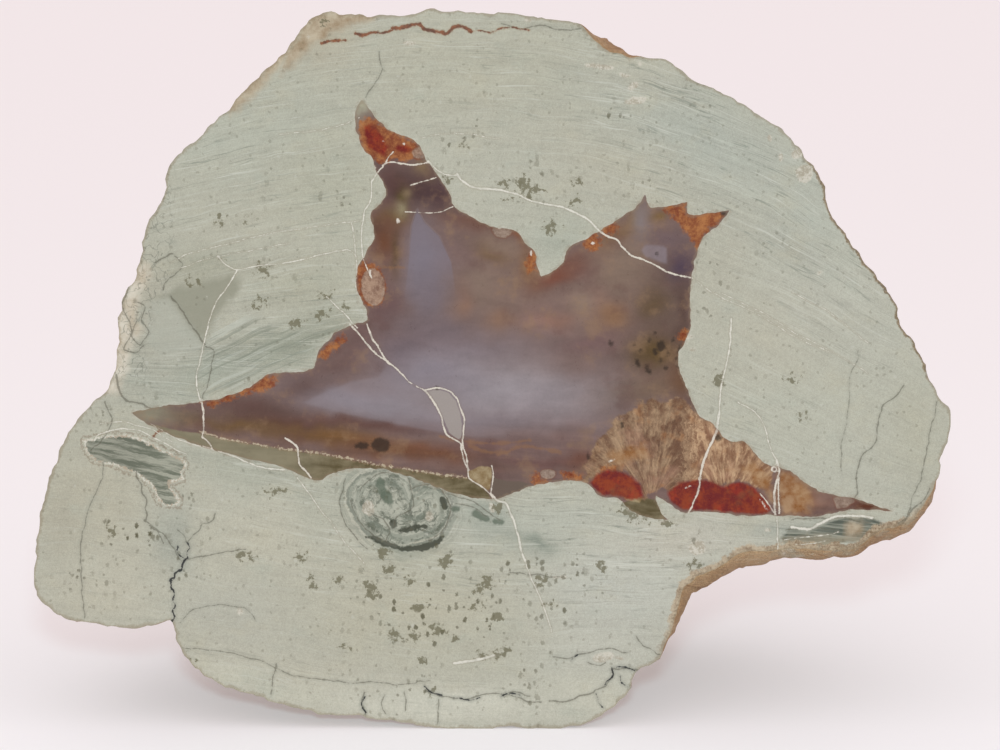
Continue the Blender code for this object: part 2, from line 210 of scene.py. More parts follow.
# White veins: half a vein's width in millimetres, then its course in pixels.
WHITE_VEINS = (
    (0.16, ((457, 173), (462, 180), (475, 188), (500, 190), (517, 194), (530, 200), (545, 204),
            (560, 206), (575, 213), (590, 222), (598, 230), (607, 236), (617, 239), (622, 247),
            (632, 256), (645, 260), (657, 266), (667, 272), (680, 276), (693, 278))),
    (0.06, ((693, 278), (705, 288), (720, 296), (750, 310), (790, 334), (830, 352))),
    (0.1, ((428, 161), (437, 170), (446, 175), (457, 175))),
    (0.11, ((372, 180), (371, 200), (364, 212), (362, 230), (362, 250), (364, 262), (369, 272),
            (372, 278))),
    (0.07, ((351, 222), (353, 230), (355, 250), (357, 270), (356, 285), (358, 305))),
    (0.16, ((350, 325), (360, 335), (368, 345), (378, 355), (388, 362))),
    (0.16, ((367, 324), (373, 340), (378, 348), (385, 358), (390, 364))),
    (0.09, ((326, 296), (338, 308), (350, 320), (358, 328))),
    (0.11, ((388, 362), (400, 372), (410, 382), (424, 390))),
    (0.16, ((424, 390), (432, 400), (438, 410), (443, 421), (447, 435), (452, 438), (460, 442),
           (462, 450), (465, 462), (468, 470))),
    (0.11, ((468, 470), (470, 478), (480, 485), (488, 492), (492, 498))),
    (0.14, ((424, 390), (437, 388), (450, 392), (457, 400), (461, 410), (464, 420), (463, 445),
            (466, 455), (468, 468))),
    (0.11, ((492, 466), (493, 478), (491, 492))),
    (0.16, ((491, 494), (497, 500), (505, 502), (508, 508), (515, 525), (520, 545), (525, 560))),
    (0.1, ((525, 560), (529, 572), (535, 585), (545, 610), (552, 632))),
    (0.16, ((202, 400), (203, 415), (203, 430), (202, 437))),
    (0.2, ((453, 663), (470, 661), (484, 658), (494, 655))),
    (0.11, ((202, 437), (208, 442), (212, 448))),
    (0.12, ((238, 270), (225, 290), (215, 305), (209, 320), (205, 338), (200, 360), (197, 380),
            (200, 402))),
    (0.13, ((218, 255), (225, 264), (233, 269), (238, 270))),
    (0.09, ((238, 270), (260, 266), (285, 263), (310, 258), (330, 252), (348, 250), (356, 256))),
    (0.16, ((285, 438), (292, 442), (297, 448), (298, 455), (300, 465), (305, 470), (311, 478))),
    (0.13, ((731, 318), (730, 340), (727, 360), (723, 380), (720, 400), (719, 415))),
    (0.2, ((719, 412), (717, 430), (710, 445), (703, 462), (700, 478))),
    (0.16, ((700, 478), (699, 490), (692, 505), (688, 512))),
    (0.09, ((738, 402), (755, 412), (765, 430), (771, 450), (777, 462))),
    (0.18, ((777, 460), (779, 470), (777, 480), (775, 490), (774, 500), (775, 514))),
    (0.14, ((779, 478), (778, 500), (779, 514))),
    (0.09, ((777, 516), (778, 540), (779, 562))),
    (0.1, ((760, 493), (768, 503), (775, 513))),
    (0.16, tuple(oval(774, 469, 2.6, 2.6, corners=8))),
    (0.12, ((180, 440), (200, 446), (212, 449), (237, 457), (262, 467), (285, 470))),
    (0.08, ((180, 440), (165, 432), (150, 423))),
    (0.1, ((96, 436), (110, 431), (135, 430), (160, 441), (186, 455))),
    (0.07, ((100, 424), (120, 422), (145, 427), (172, 442))),
    (0.06, ((170, 262), (192, 253), (230, 243), (273, 233), (320, 226), (365, 221))),
    (0.05, ((180, 268), (210, 258), (250, 250), (290, 243))),
    (0.07, ((294, 472), (305, 488), (319, 507), (343, 539), (364, 564))),
    (0.05, ((722, 293), (760, 312), (800, 335), (840, 356), (868, 373))),
    (0.05, ((792, 292), (825, 310), (850, 328), (868, 343))),
    (0.2, ((791, 527), (801, 529), (811, 529), (820, 524), (828, 520), (835, 517), (847, 516),
           (860, 515.5), (872, 518))),
    (0.08, ((785, 540), (811, 537), (825, 535), (839, 532))),
    (0.07, ((795, 545), (815, 543), (830, 541))),
    (0.05, ((420, 138), (445, 134), (470, 135), (500, 138))),
    (0.06, ((280, 135), (330, 128), (360, 118))),
    (0.13, ((383, 168), (377, 174), (373, 180))),
    (0.14, ((383, 166), (389, 162), (400, 163), (412, 165), (428, 162))),
    (0.09, ((383, 168), (388, 158), (393, 152))),
    (0.1, ((410, 185), (425, 181), (437, 177))),
    (0.1, ((405, 212), (425, 213), (440, 212), (453, 206))),
)

# Healed cracks and open ones, dark: half width, course.
DARK_CRACKS = (
    (0.06, ((905, 385), (895, 397), (882, 407), (879, 420), (877, 435), (870, 448), (862, 456),
            (858, 470), (857, 485), (858, 492), (853, 500))),
    (0.04, ((937, 402), (932, 425), (927, 445), (922, 470), (920, 480), (913, 495), (907, 513))),
    (0.01, ((860, 350), (850, 380), (848, 410), (843, 440), (840, 470))),
    (0.04, ((103, 463), (100, 480), (93, 500), (86, 520), (82, 540), (81, 565), (82, 590), (84, 620))),
    (0.08, ((136, 470), (138, 478), (142, 485), (143, 493), (147, 499), (145, 507), (147, 514),
            (144, 522))),
    (0.06, ((144, 522), (150, 527), (157, 530), (159, 537), (163, 543))),
    (0.05, ((187, 542), (193, 535), (200, 531), (203, 525), (211, 522), (216, 514))),
    (0.04, ((178, 530), (184, 534), (187, 541))),
    (0.05, ((147, 525), (165, 535), (175, 550), (182, 562))),
    (0.09, ((170, 297), (182, 312), (194, 330), (205, 344))),
    (0.05, ((120, 262), (128, 285), (122, 310), (131, 330), (124, 350), (136, 352), (145, 345))),
    (0.05, ((138, 300), (146, 306), (141, 320), (148, 332), (140, 345), (132, 338), (136, 322))),
    (0.09, ((157, 262), (166, 257), (174, 255))),
    (0.05, ((174, 255), (184, 264), (176, 275), (168, 280), (163, 290))),
    (0.05, ((205, 344), (214, 350), (210, 372), (203, 400))),
    (0.03, ((183, 648), (210, 650), (240, 655), (265, 662), (285, 672), (320, 679), (350, 683),
            (380, 682), (405, 684), (430, 681))),
    (0.06, ((425, 690), (440, 695), (455, 697), (468, 699), (480, 696), (495, 694), (511, 696),
            (527, 702), (540, 703))),
    (0.08, ((550, 702), (561, 702), (569, 700), (576, 698), (583, 696), (592, 693), (598, 689),
            (606, 686), (609, 681), (613, 675), (611, 668), (625, 668), (638, 671))),
    (0.05, ((553, 657), (572, 658), (577, 655), (589, 653), (600, 650), (612, 649), (620, 652),
            (628, 653))),
    (0.05, ((637, 635), (642, 645), (652, 650), (657, 655), (664, 653), (667, 643))),
    (0.04, ((590, 663), (600, 666), (606, 663))),
    (0.05, ((275, 665), (272, 680), (272, 696))),
    (0.07, ((364, 694), (361, 705), (366, 712), (362, 719))),
    (0.05, ((385, 695), (381, 704), (386, 715))),
    (0.05, ((404, 694), (406, 702), (404, 712))),
    (0.05, ((440, 700), (438, 712), (438, 724))),
    (0.05, ((500, 697), (512, 693), (530, 697))),
    (0.05, ((185, 560), (200, 556), (222, 553), (245, 549))),
    (0.03, ((181, 622), (190, 612), (203, 606), (222, 604))),
    (0.02, ((226, 604), (240, 606), (252, 614), (256, 622))),
    (0.06, ((105, 400), (112, 420), (108, 430), (100, 442), (90, 450))),
    (0.12, ((116, 376), (117, 386), (121, 394), (126, 401))),
    (0.09, ((126, 401), (140, 404), (152, 409), (166, 409), (178, 411))),
    (0.05, ((352, 410), (356, 420))),
    (0.12, ((777, 493), (776.5, 503), (777, 512))),
    (0.04, ((380, 52), (382, 66), (378, 80), (370, 92), (366, 98))),
    (0.05, ((500, 24), (520, 29), (545, 26), (560, 31), (580, 30))),
    (0.05, ((510, 572), (530, 575), (560, 577))),
    (0.05, ((352, 500), (356, 515), (365, 528), (380, 540), (395, 547))),
    (0.05, ((346, 478), (341, 500), (345, 522), (356, 538), (368, 550))),
    (0.07, ((448, 498), (450, 510), (447, 522), (440, 532), (428, 541))),
    (0.06, ((395, 470), (408, 478), (412, 492), (410, 508), (398, 516), (392, 528))),
    (0.05, ((360, 492), (366, 482), (378, 474), (392, 470))),
    (0.05, ((410, 490), (425, 484), (440, 487), (448, 498))),
    (0.05, ((372, 512), (382, 520), (390, 531), (386, 541))),
    (0.05, ((450, 494), (470, 500), (488, 512), (500, 520))),
    (0.05, ((456, 503), (474, 507), (486, 516))),
    (0.07, ((790, 521), (815, 517), (845, 519), (870, 524))),
    (0.05, ((786, 531), (810, 528), (838, 529))),
    (0.05, ((905, 520), (915, 507), (925, 498), (930, 488))),
    (0.05, ((898, 524), (909, 512), (921, 503))),
)

OPEN_CRACKS = (
    (0.16, ((186, 560), (182, 564), (181, 569), (176, 572), (175, 577), (171, 580), (172, 586))),
    (0.11, ((172, 588), (175, 593), (173, 599), (175, 605), (172, 611), (173, 617), (170, 623))),
    (0.08, ((187, 543), (190, 549), (186, 554), (188, 559))),
    (0.05, ((181, 556), (176, 551), (178, 545))),
    (0.12, ((777, 492), (776.5, 503), (777, 513))),
    (0.09, ((366, 696), (362, 705), (366, 712))),
    (0.1, ((425, 686), (432, 692), (441, 694))),
    (0.08, ((500, 697), (508, 694), (520, 696))),
    (0.09, ((606, 685), (609, 681), (613, 675), (611, 669))),
    (0.09, ((616, 669), (625, 668), (634, 670))),
    (0.07, ((596, 695), (598, 703), (604, 708))),
    (0.07, ((620, 676), (624, 684), (630, 689))),
    (0.07, ((571, 661), (573, 658), (577, 655))),
    (0.07, ((455, 697), (468, 699), (480, 697))),
)

# Iron stains along the bands and inside the agate: half width, course.
RUST_LINES = (
    (0.16, ((320, 44), (328, 42), (337, 41), (345, 40))),
    (0.22, ((355, 34), (363, 35), (372, 33))),
    (0.13, ((372, 33), (382, 33), (392, 30))),
    (0.24, ((392, 29), (402, 28), (412, 25), (420, 24))),
    (0.22, ((420, 24), (425, 29), (432, 31), (440, 32), (446, 34), (452, 28))),
    (0.26, ((452, 28), (460, 27), (466, 28), (471, 32))),
    (0.08, ((471, 32), (480, 31), (490, 33), (500, 29), (512, 28), (530, 30))),
    (0.14, ((154, 437), (158, 431), (163, 431))),
)
GOLD_LINES = (
    (0.14, ((470, 446), (485, 451), (505, 452), (520, 447), (540, 448), (560, 453))),
    (0.1, ((440, 436), (460, 441), (500, 443), (530, 441))),
    (0.1, ((382, 268), (392, 267), (404, 268))),
)
BEAD_LINE = (
    (0.3, ((200, 431), (222, 438), (250, 443), (275, 447), (302, 451), (320, 453), (340, 457),
           (360, 461), (380, 465), (400, 468), (420, 471), (440, 474), (468, 478))),
)

# The rock's patches, as outlines in pixels.
SIDE_POCKET = (
    ((84, 441), (95, 439), (115, 436), (135, 437), (150, 444), (165, 452), (180, 458), (185, 465),
     (181, 473), (182, 480), (170, 481), (168, 485), (172, 491), (178, 499), (179, 504), (165, 505),
     (159, 500), (155, 490), (149, 482), (140, 475), (125, 468), (110, 463), (95, 461), (88, 453)),
)
SHADED_PANEL = (
    ((150, 299), (170, 292), (200, 283), (232, 272), (240, 281), (238, 292), (228, 300), (218, 312),
     (210, 330), (204, 345), (190, 330), (178, 312), (168, 298)),
)
PANEL_SIDE = (
    ((150, 300), (168, 297), (204, 344), (196, 352), (178, 352), (160, 356), (146, 340)),
)
SWIRLED_GREEN = (
    ((204, 345), (218, 318), (240, 318), (270, 322), (310, 330), (345, 322), (352, 326), (318, 345),
     (300, 368), (262, 372), (240, 388), (206, 399), (198, 380)),
)
BLOTS = (
    oval(552, 228, 8, 7), oval(522, 184, 7, 8), oval(505, 184, 5, 4), oval(536, 190, 6, 4),
    oval(577, 181, 6, 4), oval(575, 201, 6, 4), oval(792, 379, 5, 4), oval(803, 417, 5, 3.5),
    oval(262, 270, 6, 6), oval(199, 283, 4, 4), oval(188, 283, 3.5, 4), oval(219, 219, 4, 5),
    oval(249, 220, 3, 4), oval(219, 260, 4, 3), oval(254, 306, 5, 4), oval(262, 301, 4, 3),
    oval(327, 296, 5, 4), oval(322, 313, 6, 5, 40), oval(296, 324, 6, 4), oval(344, 306, 3, 3),
    oval(463, 148, 3, 2), oval(448, 180, 4, 3), oval(630, 512, 11, 8), oval(645, 520, 4, 3),
    oval(323, 23, 5, 4), oval(370, 590, 7, 9, 20), oval(241, 555, 6, 4), oval(252, 558, 4, 4),
    oval(410, 583, 5, 4), oval(437, 629, 8, 6), oval(447, 562, 7, 6), oval(487, 583, 8, 6, -30),
    oval(480, 590, 6, 4), oval(602, 568, 4, 6, 30), oval(544, 580, 8, 6), oval(498, 617, 6, 5),
    oval(420, 606, 6, 5), oval(396, 634, 6, 6), oval(414, 638, 5, 5), oval(501, 652, 7, 7),
    oval(480, 655, 6, 3), oval(476, 606, 6, 3), oval(549, 604, 5, 3), oval(454, 640, 4, 4),
    oval(423, 660, 4, 4), oval(345, 648, 4, 3), oval(383, 553, 8, 6), oval(388, 570, 5, 6, 30),
    oval(300, 556, 5, 4), oval(313, 582, 4, 4), oval(339, 581, 4, 3), oval(192, 660, 4, 3),
    oval(430, 692, 4, 3), oval(112, 531, 5, 3), oval(272, 491, 16, 3), oval(497, 508, 5, 4),
    oval(718, 380, 5, 8, 20), oval(666, 523, 6, 5), oval(760, 490, 3, 3), oval(530, 195, 4, 5),
    oval(694, 563, 7, 4), oval(852, 190, 3, 2), oval(508, 200, 3, 2),
)
CHALK = (
    oval(805, 174, 9, 9), oval(797, 155, 6, 5), oval(781, 157, 2, 5), oval(770, 138, 2, 3),
    oval(697, 548, 9, 8), oval(600, 66, 16, 3, -6), oval(636, 101, 12, 4, 10), oval(633, 86, 6, 4, 30),
    oval(640, 64, 2, 2.5), oval(603, 657, 11, 5, 12), oval(620, 658, 6, 2, -8), oval(528, 20, 4, 2),
    oval(625, 75, 8, 2, -10), oval(368, 508, 7, 8), oval(430, 516, 5, 6),
    oval(410, 43, 7, 2), oval(560, 577, 8, 2), oval(240, 612, 3, 4), oval(820, 272, 5, 2.5, 30),
    oval(768, 530, 4, 2), oval(690, 337, 5, 3), oval(693, 349, 4, 2.5), oval(492, 508, 3, 5, 20),
)
TAN_RIND = (
    ((280, 75), (285, 50), (300, 30), (312, 15), (330, 8), (350, 13), (372, 14), (372, 20), (352, 24),
     (338, 30), (325, 38), (312, 46), (300, 58)),
    ((108, 392), (112, 372), (116, 345), (117, 318), (126, 288), (138, 268), (146, 262), (149, 276),
     (140, 292), (136, 312), (140, 330), (130, 348), (124, 372), (118, 392)),
    oval(855, 529, 9, 6),
    ((222, 108), (250, 84), (270, 62), (282, 46), (289, 56), (274, 74), (254, 94), (230, 117)),
)
EYE = (
    ((350, 505), (352, 488), (362, 478), (378, 472), (396, 474), (410, 482), (413, 494), (424, 486),
     (440, 489), (449, 502), (449, 517), (441, 530), (428, 539), (404, 546), (382, 540), (364, 526)),
)
EYE_RIGHT = (oval(430, 509, 20, 23, 0),)
EYE_DARK = (
    ((366, 537), (374, 535), (386, 541), (400, 546), (418, 545), (434, 541), (447, 533), (438, 546),
     (424, 551), (404, 551), (384, 546)),
    oval(410, 529, 12, 3.5, 15), oval(444, 503, 4, 7, 20), oval(393, 524, 4, 5), oval(425, 526, 4, 3),
)
EYE_GREEN = (
    ((374, 482), (380, 476), (386, 486), (394, 500), (392, 508), (382, 500)),
    oval(455, 509, 5, 3), oval(480, 516, 10, 4, -25), oval(498, 522, 6, 3),
)
BLUE_LOWER_RIGHT = (
    ((788, 530), (801, 531), (811, 531), (821, 526), (829, 522), (836, 519), (848, 518), (861, 517),
     (873, 519), (885, 524), (904, 524), (893, 531), (872, 537), (850, 542), (830, 546), (808, 547),
     (788, 545), (778, 541)),
)

# The rock's tones as they show in the photograph: middle, half width and half height, turn, strength
# and colour. Later ones lie over earlier ones.
ROCK_TONE = (184, 181, 166)
ROCK_CLOUDS = (
    (480, 70, 260, 50, 0, 0.9, (181, 177, 160)), (260, 140, 90, 60, 30, 0.9, (178, 178, 164)),
    (700, 140, 120, 50, -28, 0.9, (176, 178, 167)), (640, 70, 50, 30, -20, 0.6, (186, 182, 167)),
    (800, 220, 60, 60, -35, 0.8, (180, 181, 169)), (840, 320, 90, 60, -30, 0.8, (186, 184, 171)),
    (770, 340, 60, 50, -30, 0.7, (186, 180, 163)), (720, 260, 40, 60, -20, 0.6, (182, 177, 161)),
    (810, 410, 80, 60, 0, 0.8, (186, 184, 169)), (250, 220, 110, 60, 15, 0.9, (181, 177, 161)),
    (330, 180, 50, 60, 0, 0.6, (176, 174, 156)), (300, 285, 60, 26, 0, 0.8, (175, 172, 154)),
    (610, 170, 90, 40, -15, 0.8, (182, 177, 161)), (560, 240, 30, 26, 0, 0.7, (170, 172, 158)),
    (480, 150, 80, 30, 0, 0.6, (183, 180, 165)), (150, 375, 50, 30, 0, 0.9, (174, 173, 159)),
    (190, 270, 40, 18, 10, 0.8, (167, 164, 147)), (290, 345, 70, 22, 12, 1.0, (156, 157, 141)),
    (220, 370, 60, 20, 25, 0.9, (163, 165, 151)), (330, 318, 30, 14, 0, 0.5, (160, 158, 140)),
    (100, 500, 60, 60, 0, 0.9, (184, 178, 160)), (110, 590, 70, 36, 0, 0.9, (192, 186, 169)),
    (60, 520, 20, 50, 0, 0.6, (176, 170, 153)), (170, 530, 24, 40, 0, 0.7, (170, 170, 158)),
    (260, 540, 90, 44, 0, 1.0, (191, 186, 169)), (240, 620, 60, 40, 0, 0.8, (184, 181, 168)),
    (250, 470, 80, 16, -12, 0.8, (172, 172, 157)), (320, 510, 30, 30, 0, 0.6, (176, 175, 160)),
    (420, 610, 120, 46, 0, 0.9, (187, 181, 162)), (430, 560, 70, 16, 0, 0.7, (178, 175, 158)),
    (620, 590, 90, 60, 0, 0.9, (192, 190, 179)), (600, 660, 60, 30, 0, 0.8, (196, 193, 180)),
    (560, 525, 90, 24, 0, 0.8, (182, 182, 169)), (680, 538, 80, 20, 0, 0.9, (195, 189, 175)),
    (490, 520, 26, 16, 0, 0.8, (158, 162, 150)), (330, 680, 180, 26, -8, 0.9, (190, 185, 169)),
    (450, 706, 150, 20, 0, 1.1, (203, 199, 184)), (240, 670, 40, 16, -10, 0.6, (192, 187, 171)),
    (600, 700, 44, 20, -20, 0.8, (201, 197, 181)), (850, 470, 60, 26, 0, 0.7, (184, 182, 168)),
    (915, 430, 24, 50, 0, 0.6, (182, 178, 160)), (800, 530, 60, 9, 4, 0.8, (166, 168, 157)),
    (330, 40, 40, 20, 25, 0.7, (178, 168, 148)), (150, 300, 18, 50, 0, 0.6, (178, 172, 156)),
    (520, 541, 34, 12, -12, 0.8, (166, 168, 155)), (538, 539, 16, 6, -22, 0.9, (136, 142, 130)),
    (478, 508, 14, 8, -20, 0.8, (148, 152, 140)), (262, 686, 70, 13, -14, 0.8, (199, 195, 178)),
    (205, 262, 34, 14, 10, 0.7, (166, 164, 147)), (178, 540, 14, 28, 8, 0.6, (160, 162, 151)),
)
CROWDED_PATCHES = (
    (430, 610, 130, 60, 0, 1.1), (100, 520, 60, 60, 0, 0.8), (560, 170, 120, 60, 0, 0.7),
    (340, 200, 60, 80, 0, 0.3), (740, 260, 60, 40, 0, 0.5), (290, 290, 50, 50, 0, 0.3),
    (160, 540, 40, 50, 0, 0.5), (600, 600, 80, 40, 0, 0.2), (850, 300, 60, 80, 0, -0.6),
    (860, 430, 60, 50, 0, -0.6), (620, 690, 60, 30, 0, -0.5), (250, 140, 60, 60, 0, -0.2),
)
BANDED_PATCHES = (
    (500, 60, 330, 60, 0, 0.55), (230, 150, 90, 70, 20, 0.9), (700, 150, 130, 60, -28, 0.95),
    (830, 260, 100, 60, -35, 0.95), (270, 340, 110, 40, 10, 0.9), (150, 370, 60, 40, 0, 0.8),
    (650, 560, 180, 60, 0, 0.95), (560, 520, 120, 30, 0, 0.8), (380, 520, 100, 60, 0, 0.8),
    (860, 530, 80, 30, 0, 0.9), (250, 460, 90, 20, -10, 0.9), (740, 430, 60, 50, 0, 0.6),
    (240, 670, 90, 20, -8, 0.6), (300, 240, 120, 60, 0, 0.5),
)

# How steeply the flow bands run down to the right, across the upper and the lower half: pixel
# column, then slope.
UPPER_SLOPE = (
    (100, -0.35), (200, -0.27), (260, -0.2), (320, -0.12), (400, -0.04), (470, 0.02), (560, 0.09),
    (620, 0.2), (700, 0.38), (760, 0.48), (850, 0.58), (950, 0.62),
)
LOWER_SLOPE = (
    (30, 0.02), (130, 0.16), (300, 0.18), (440, 0.1), (520, 0.03), (700, -0.02), (800, -0.06),
    (950, -0.1),
)
BETWEEN_ROW = ((30, 345), (200, 350), (360, 380), (480, 440), (640, 480), (760, 505), (950, 520))
BETWEEN_EASE = 85.0

# The agate's patches, as outlines in pixels.
LILAC = (
    ((416, 207), (421, 216), (432, 228), (445, 246), (462, 262), (480, 285), (498, 318), (530, 340),
     (570, 352), (600, 374), (608, 396), (590, 420), (560, 436), (520, 441), (470, 438), (430, 432),
     (390, 424), (350, 416), (318, 408), (300, 403), (322, 392), (352, 380), (378, 376), (392, 350),
     (400, 320), (405, 290), (408, 255), (410, 228)),
)
SPIKE = (
    ((417, 207), (425, 222), (440, 236), (452, 262), (456, 290), (450, 330), (425, 345), (404, 330),
     (404, 295), (408, 262), (411, 225)),
)
CARNELIAN = (
    ((364, 127), (372, 124), (382, 136), (388, 146), (384, 156), (376, 152), (368, 146)),
    oval(404, 149, 8, 4, -12),
    ((590, 483), (597, 474), (607, 470), (620, 471), (632, 477), (641, 486), (643, 497), (632, 500),
     (615, 496), (600, 494)),
    ((668, 491), (680, 483), (695, 480), (712, 481), (722, 487), (740, 482), (752, 486), (764, 497),
     (771, 509), (766, 515), (740, 513), (700, 510), (682, 509), (670, 501)),
)
ORANGE = (
    ((361, 121), (372, 119), (388, 129), (407, 138), (416, 142), (422, 150), (418, 158), (404, 160),
     (391, 159), (383, 164), (376, 160), (364, 155), (358, 138)),
    ((203, 402), (230, 393), (247, 387), (262, 379), (275, 376), (273, 386), (262, 393), (245, 393),
     (225, 400), (207, 407)),
    oval(263, 386, 9, 5, 15), ((318, 356), (330, 345), (344, 335), (346, 341), (334, 350), (325, 358)),
    oval(593, 242, 8, 8, 30), ((603, 224), (612, 222), (618, 228), (614, 234), (605, 234), (600, 230)),
    ((663, 208), (668, 203), (676, 206), (687, 202), (684, 213), (700, 214), (721, 208), (722, 216),
     (713, 226), (704, 233), (703, 244), (697, 249), (692, 240), (684, 229), (672, 215)),
    ((357, 268), (364, 262), (376, 266), (384, 278), (384, 296), (378, 305), (368, 305), (360, 298),
     (356, 285)),
    ((530, 478), (537, 474), (545, 480), (552, 484), (536, 485)), oval(572, 476, 10, 4, -12),
    oval(684, 336, 5, 6), oval(607, 469, 7, 2, 10), ((362, 147), (368, 154), (362, 157)),
    oval(532, 262, 5, 10, -10),
)
HONEY = (
    ((778, 468), (790, 472), (803, 484), (812, 490), (808, 514), (782, 515), (777, 500)),
    ((743, 468), (754, 464), (766, 472), (773, 486), (773, 500), (765, 492), (752, 480)),
    ((605, 455), (622, 450), (640, 446), (648, 454), (630, 462), (612, 466)),
)
PANE = (
    ((640, 251), (645, 244), (663, 245), (668, 248), (668, 266), (656, 262), (645, 257)),
)
LOOP = (
    ((425, 392), (437, 389), (449, 393), (456, 401), (460, 412), (462, 424), (461, 440), (454, 437),
     (449, 432), (444, 420), (438, 408), (431, 399)),
)
STRAW = (
    ((467, 472), (480, 466), (492, 468), (492, 480), (489, 491), (478, 484), (470, 480)),
    ((618, 485), (634, 488), (642, 497), (640, 503), (625, 500)),
)
PEBBLES = (
    oval(373, 287, 12, 19, 6), ((490, 228), (497, 224), (508, 226), (513, 233), (505, 238), (496, 237)),
    oval(419, 153, 7, 6), oval(548, 474, 8, 5),
    ((833, 497), (848, 496), (856, 501), (848, 507), (836, 509)),
)
PLUME = (
    ((583, 484), (585, 470), (590, 452), (600, 438), (612, 424), (625, 414), (636, 404), (652, 399),
     (668, 402), (684, 399), (700, 417), (712, 421), (722, 434), (732, 440), (746, 440), (760, 456),
     (772, 466), (775, 482), (760, 488), (740, 480), (720, 486), (705, 480), (690, 482), (672, 490),
     (660, 490), (645, 496), (638, 480), (618, 470), (604, 470), (594, 478)),
)
OLIVE_BAND = (
    ((150, 424), (180, 431), (205, 434), (222, 439), (250, 444), (275, 448), (302, 452), (320, 454),
     (340, 458), (360, 462), (380, 466), (400, 469), (420, 472), (440, 475), (470, 479), (486, 490),
     (492, 500), (460, 505), (400, 495), (340, 485), (300, 485), (240, 470), (180, 450), (140, 430)),
    ((640, 497), (655, 500), (662, 512), (668, 524), (640, 522), (618, 512), (622, 503)),
)
SMOKY_WEDGE = (((493, 478), (512, 481), (530, 483), (522, 492), (508, 499), (490, 500)),)
INK_SPOTS = (
    oval(362, 446, 7, 3.2), oval(381, 445, 9, 7), oval(661, 346, 4, 5), oval(638, 363, 2, 4, 30),
    oval(647, 368, 2, 4), oval(611, 343, 2, 2.5), oval(680, 349, 2, 4), oval(684, 366, 7, 3),
    oval(655, 352, 1.6, 3, 20), oval(668, 353, 1.5, 2), oval(640, 351, 1.5, 1.5), oval(649, 340, 1, 2),
    oval(673, 340, 1.5, 1.5), oval(661, 360, 1.4, 2.5), oval(677, 358, 1.5, 1.5), oval(690, 353, 1, 2),
    oval(650, 372, 1, 2), oval(634, 345, 1, 1), oval(666, 368, 1.2, 1.2), oval(655, 333, 1, 1.4),
    oval(724, 213, 3.5, 2.5), oval(718, 437, 3, 4), oval(657, 254, 1.2, 1.5), oval(437, 388, 1.6, 1.2),
    oval(588, 456, 1.5, 3), oval(622, 425, 1.5, 3),
)
GLINTS = (
    oval(593, 243, 2.4, 1.6), oval(688, 340, 2.2, 2.4), oval(683, 352, 1.5, 3), oval(694, 328, 2, 5),
    oval(370, 272, 1.2, 3), oval(383, 141, 1.3, 1), oval(404, 144, 1.3, 1.5), oval(500, 228, 2, 1.2),
    oval(611, 461, 5, 0.9, 20), oval(688, 487, 4, 0.8, 25), oval(764, 505, 0.9, 8, 35),
    oval(531, 253, 1, 3), oval(374, 168, 1.5, 3, -30), oval(398, 221, 2, 2.5), oval(460, 27, 2.5, 1.2),
)

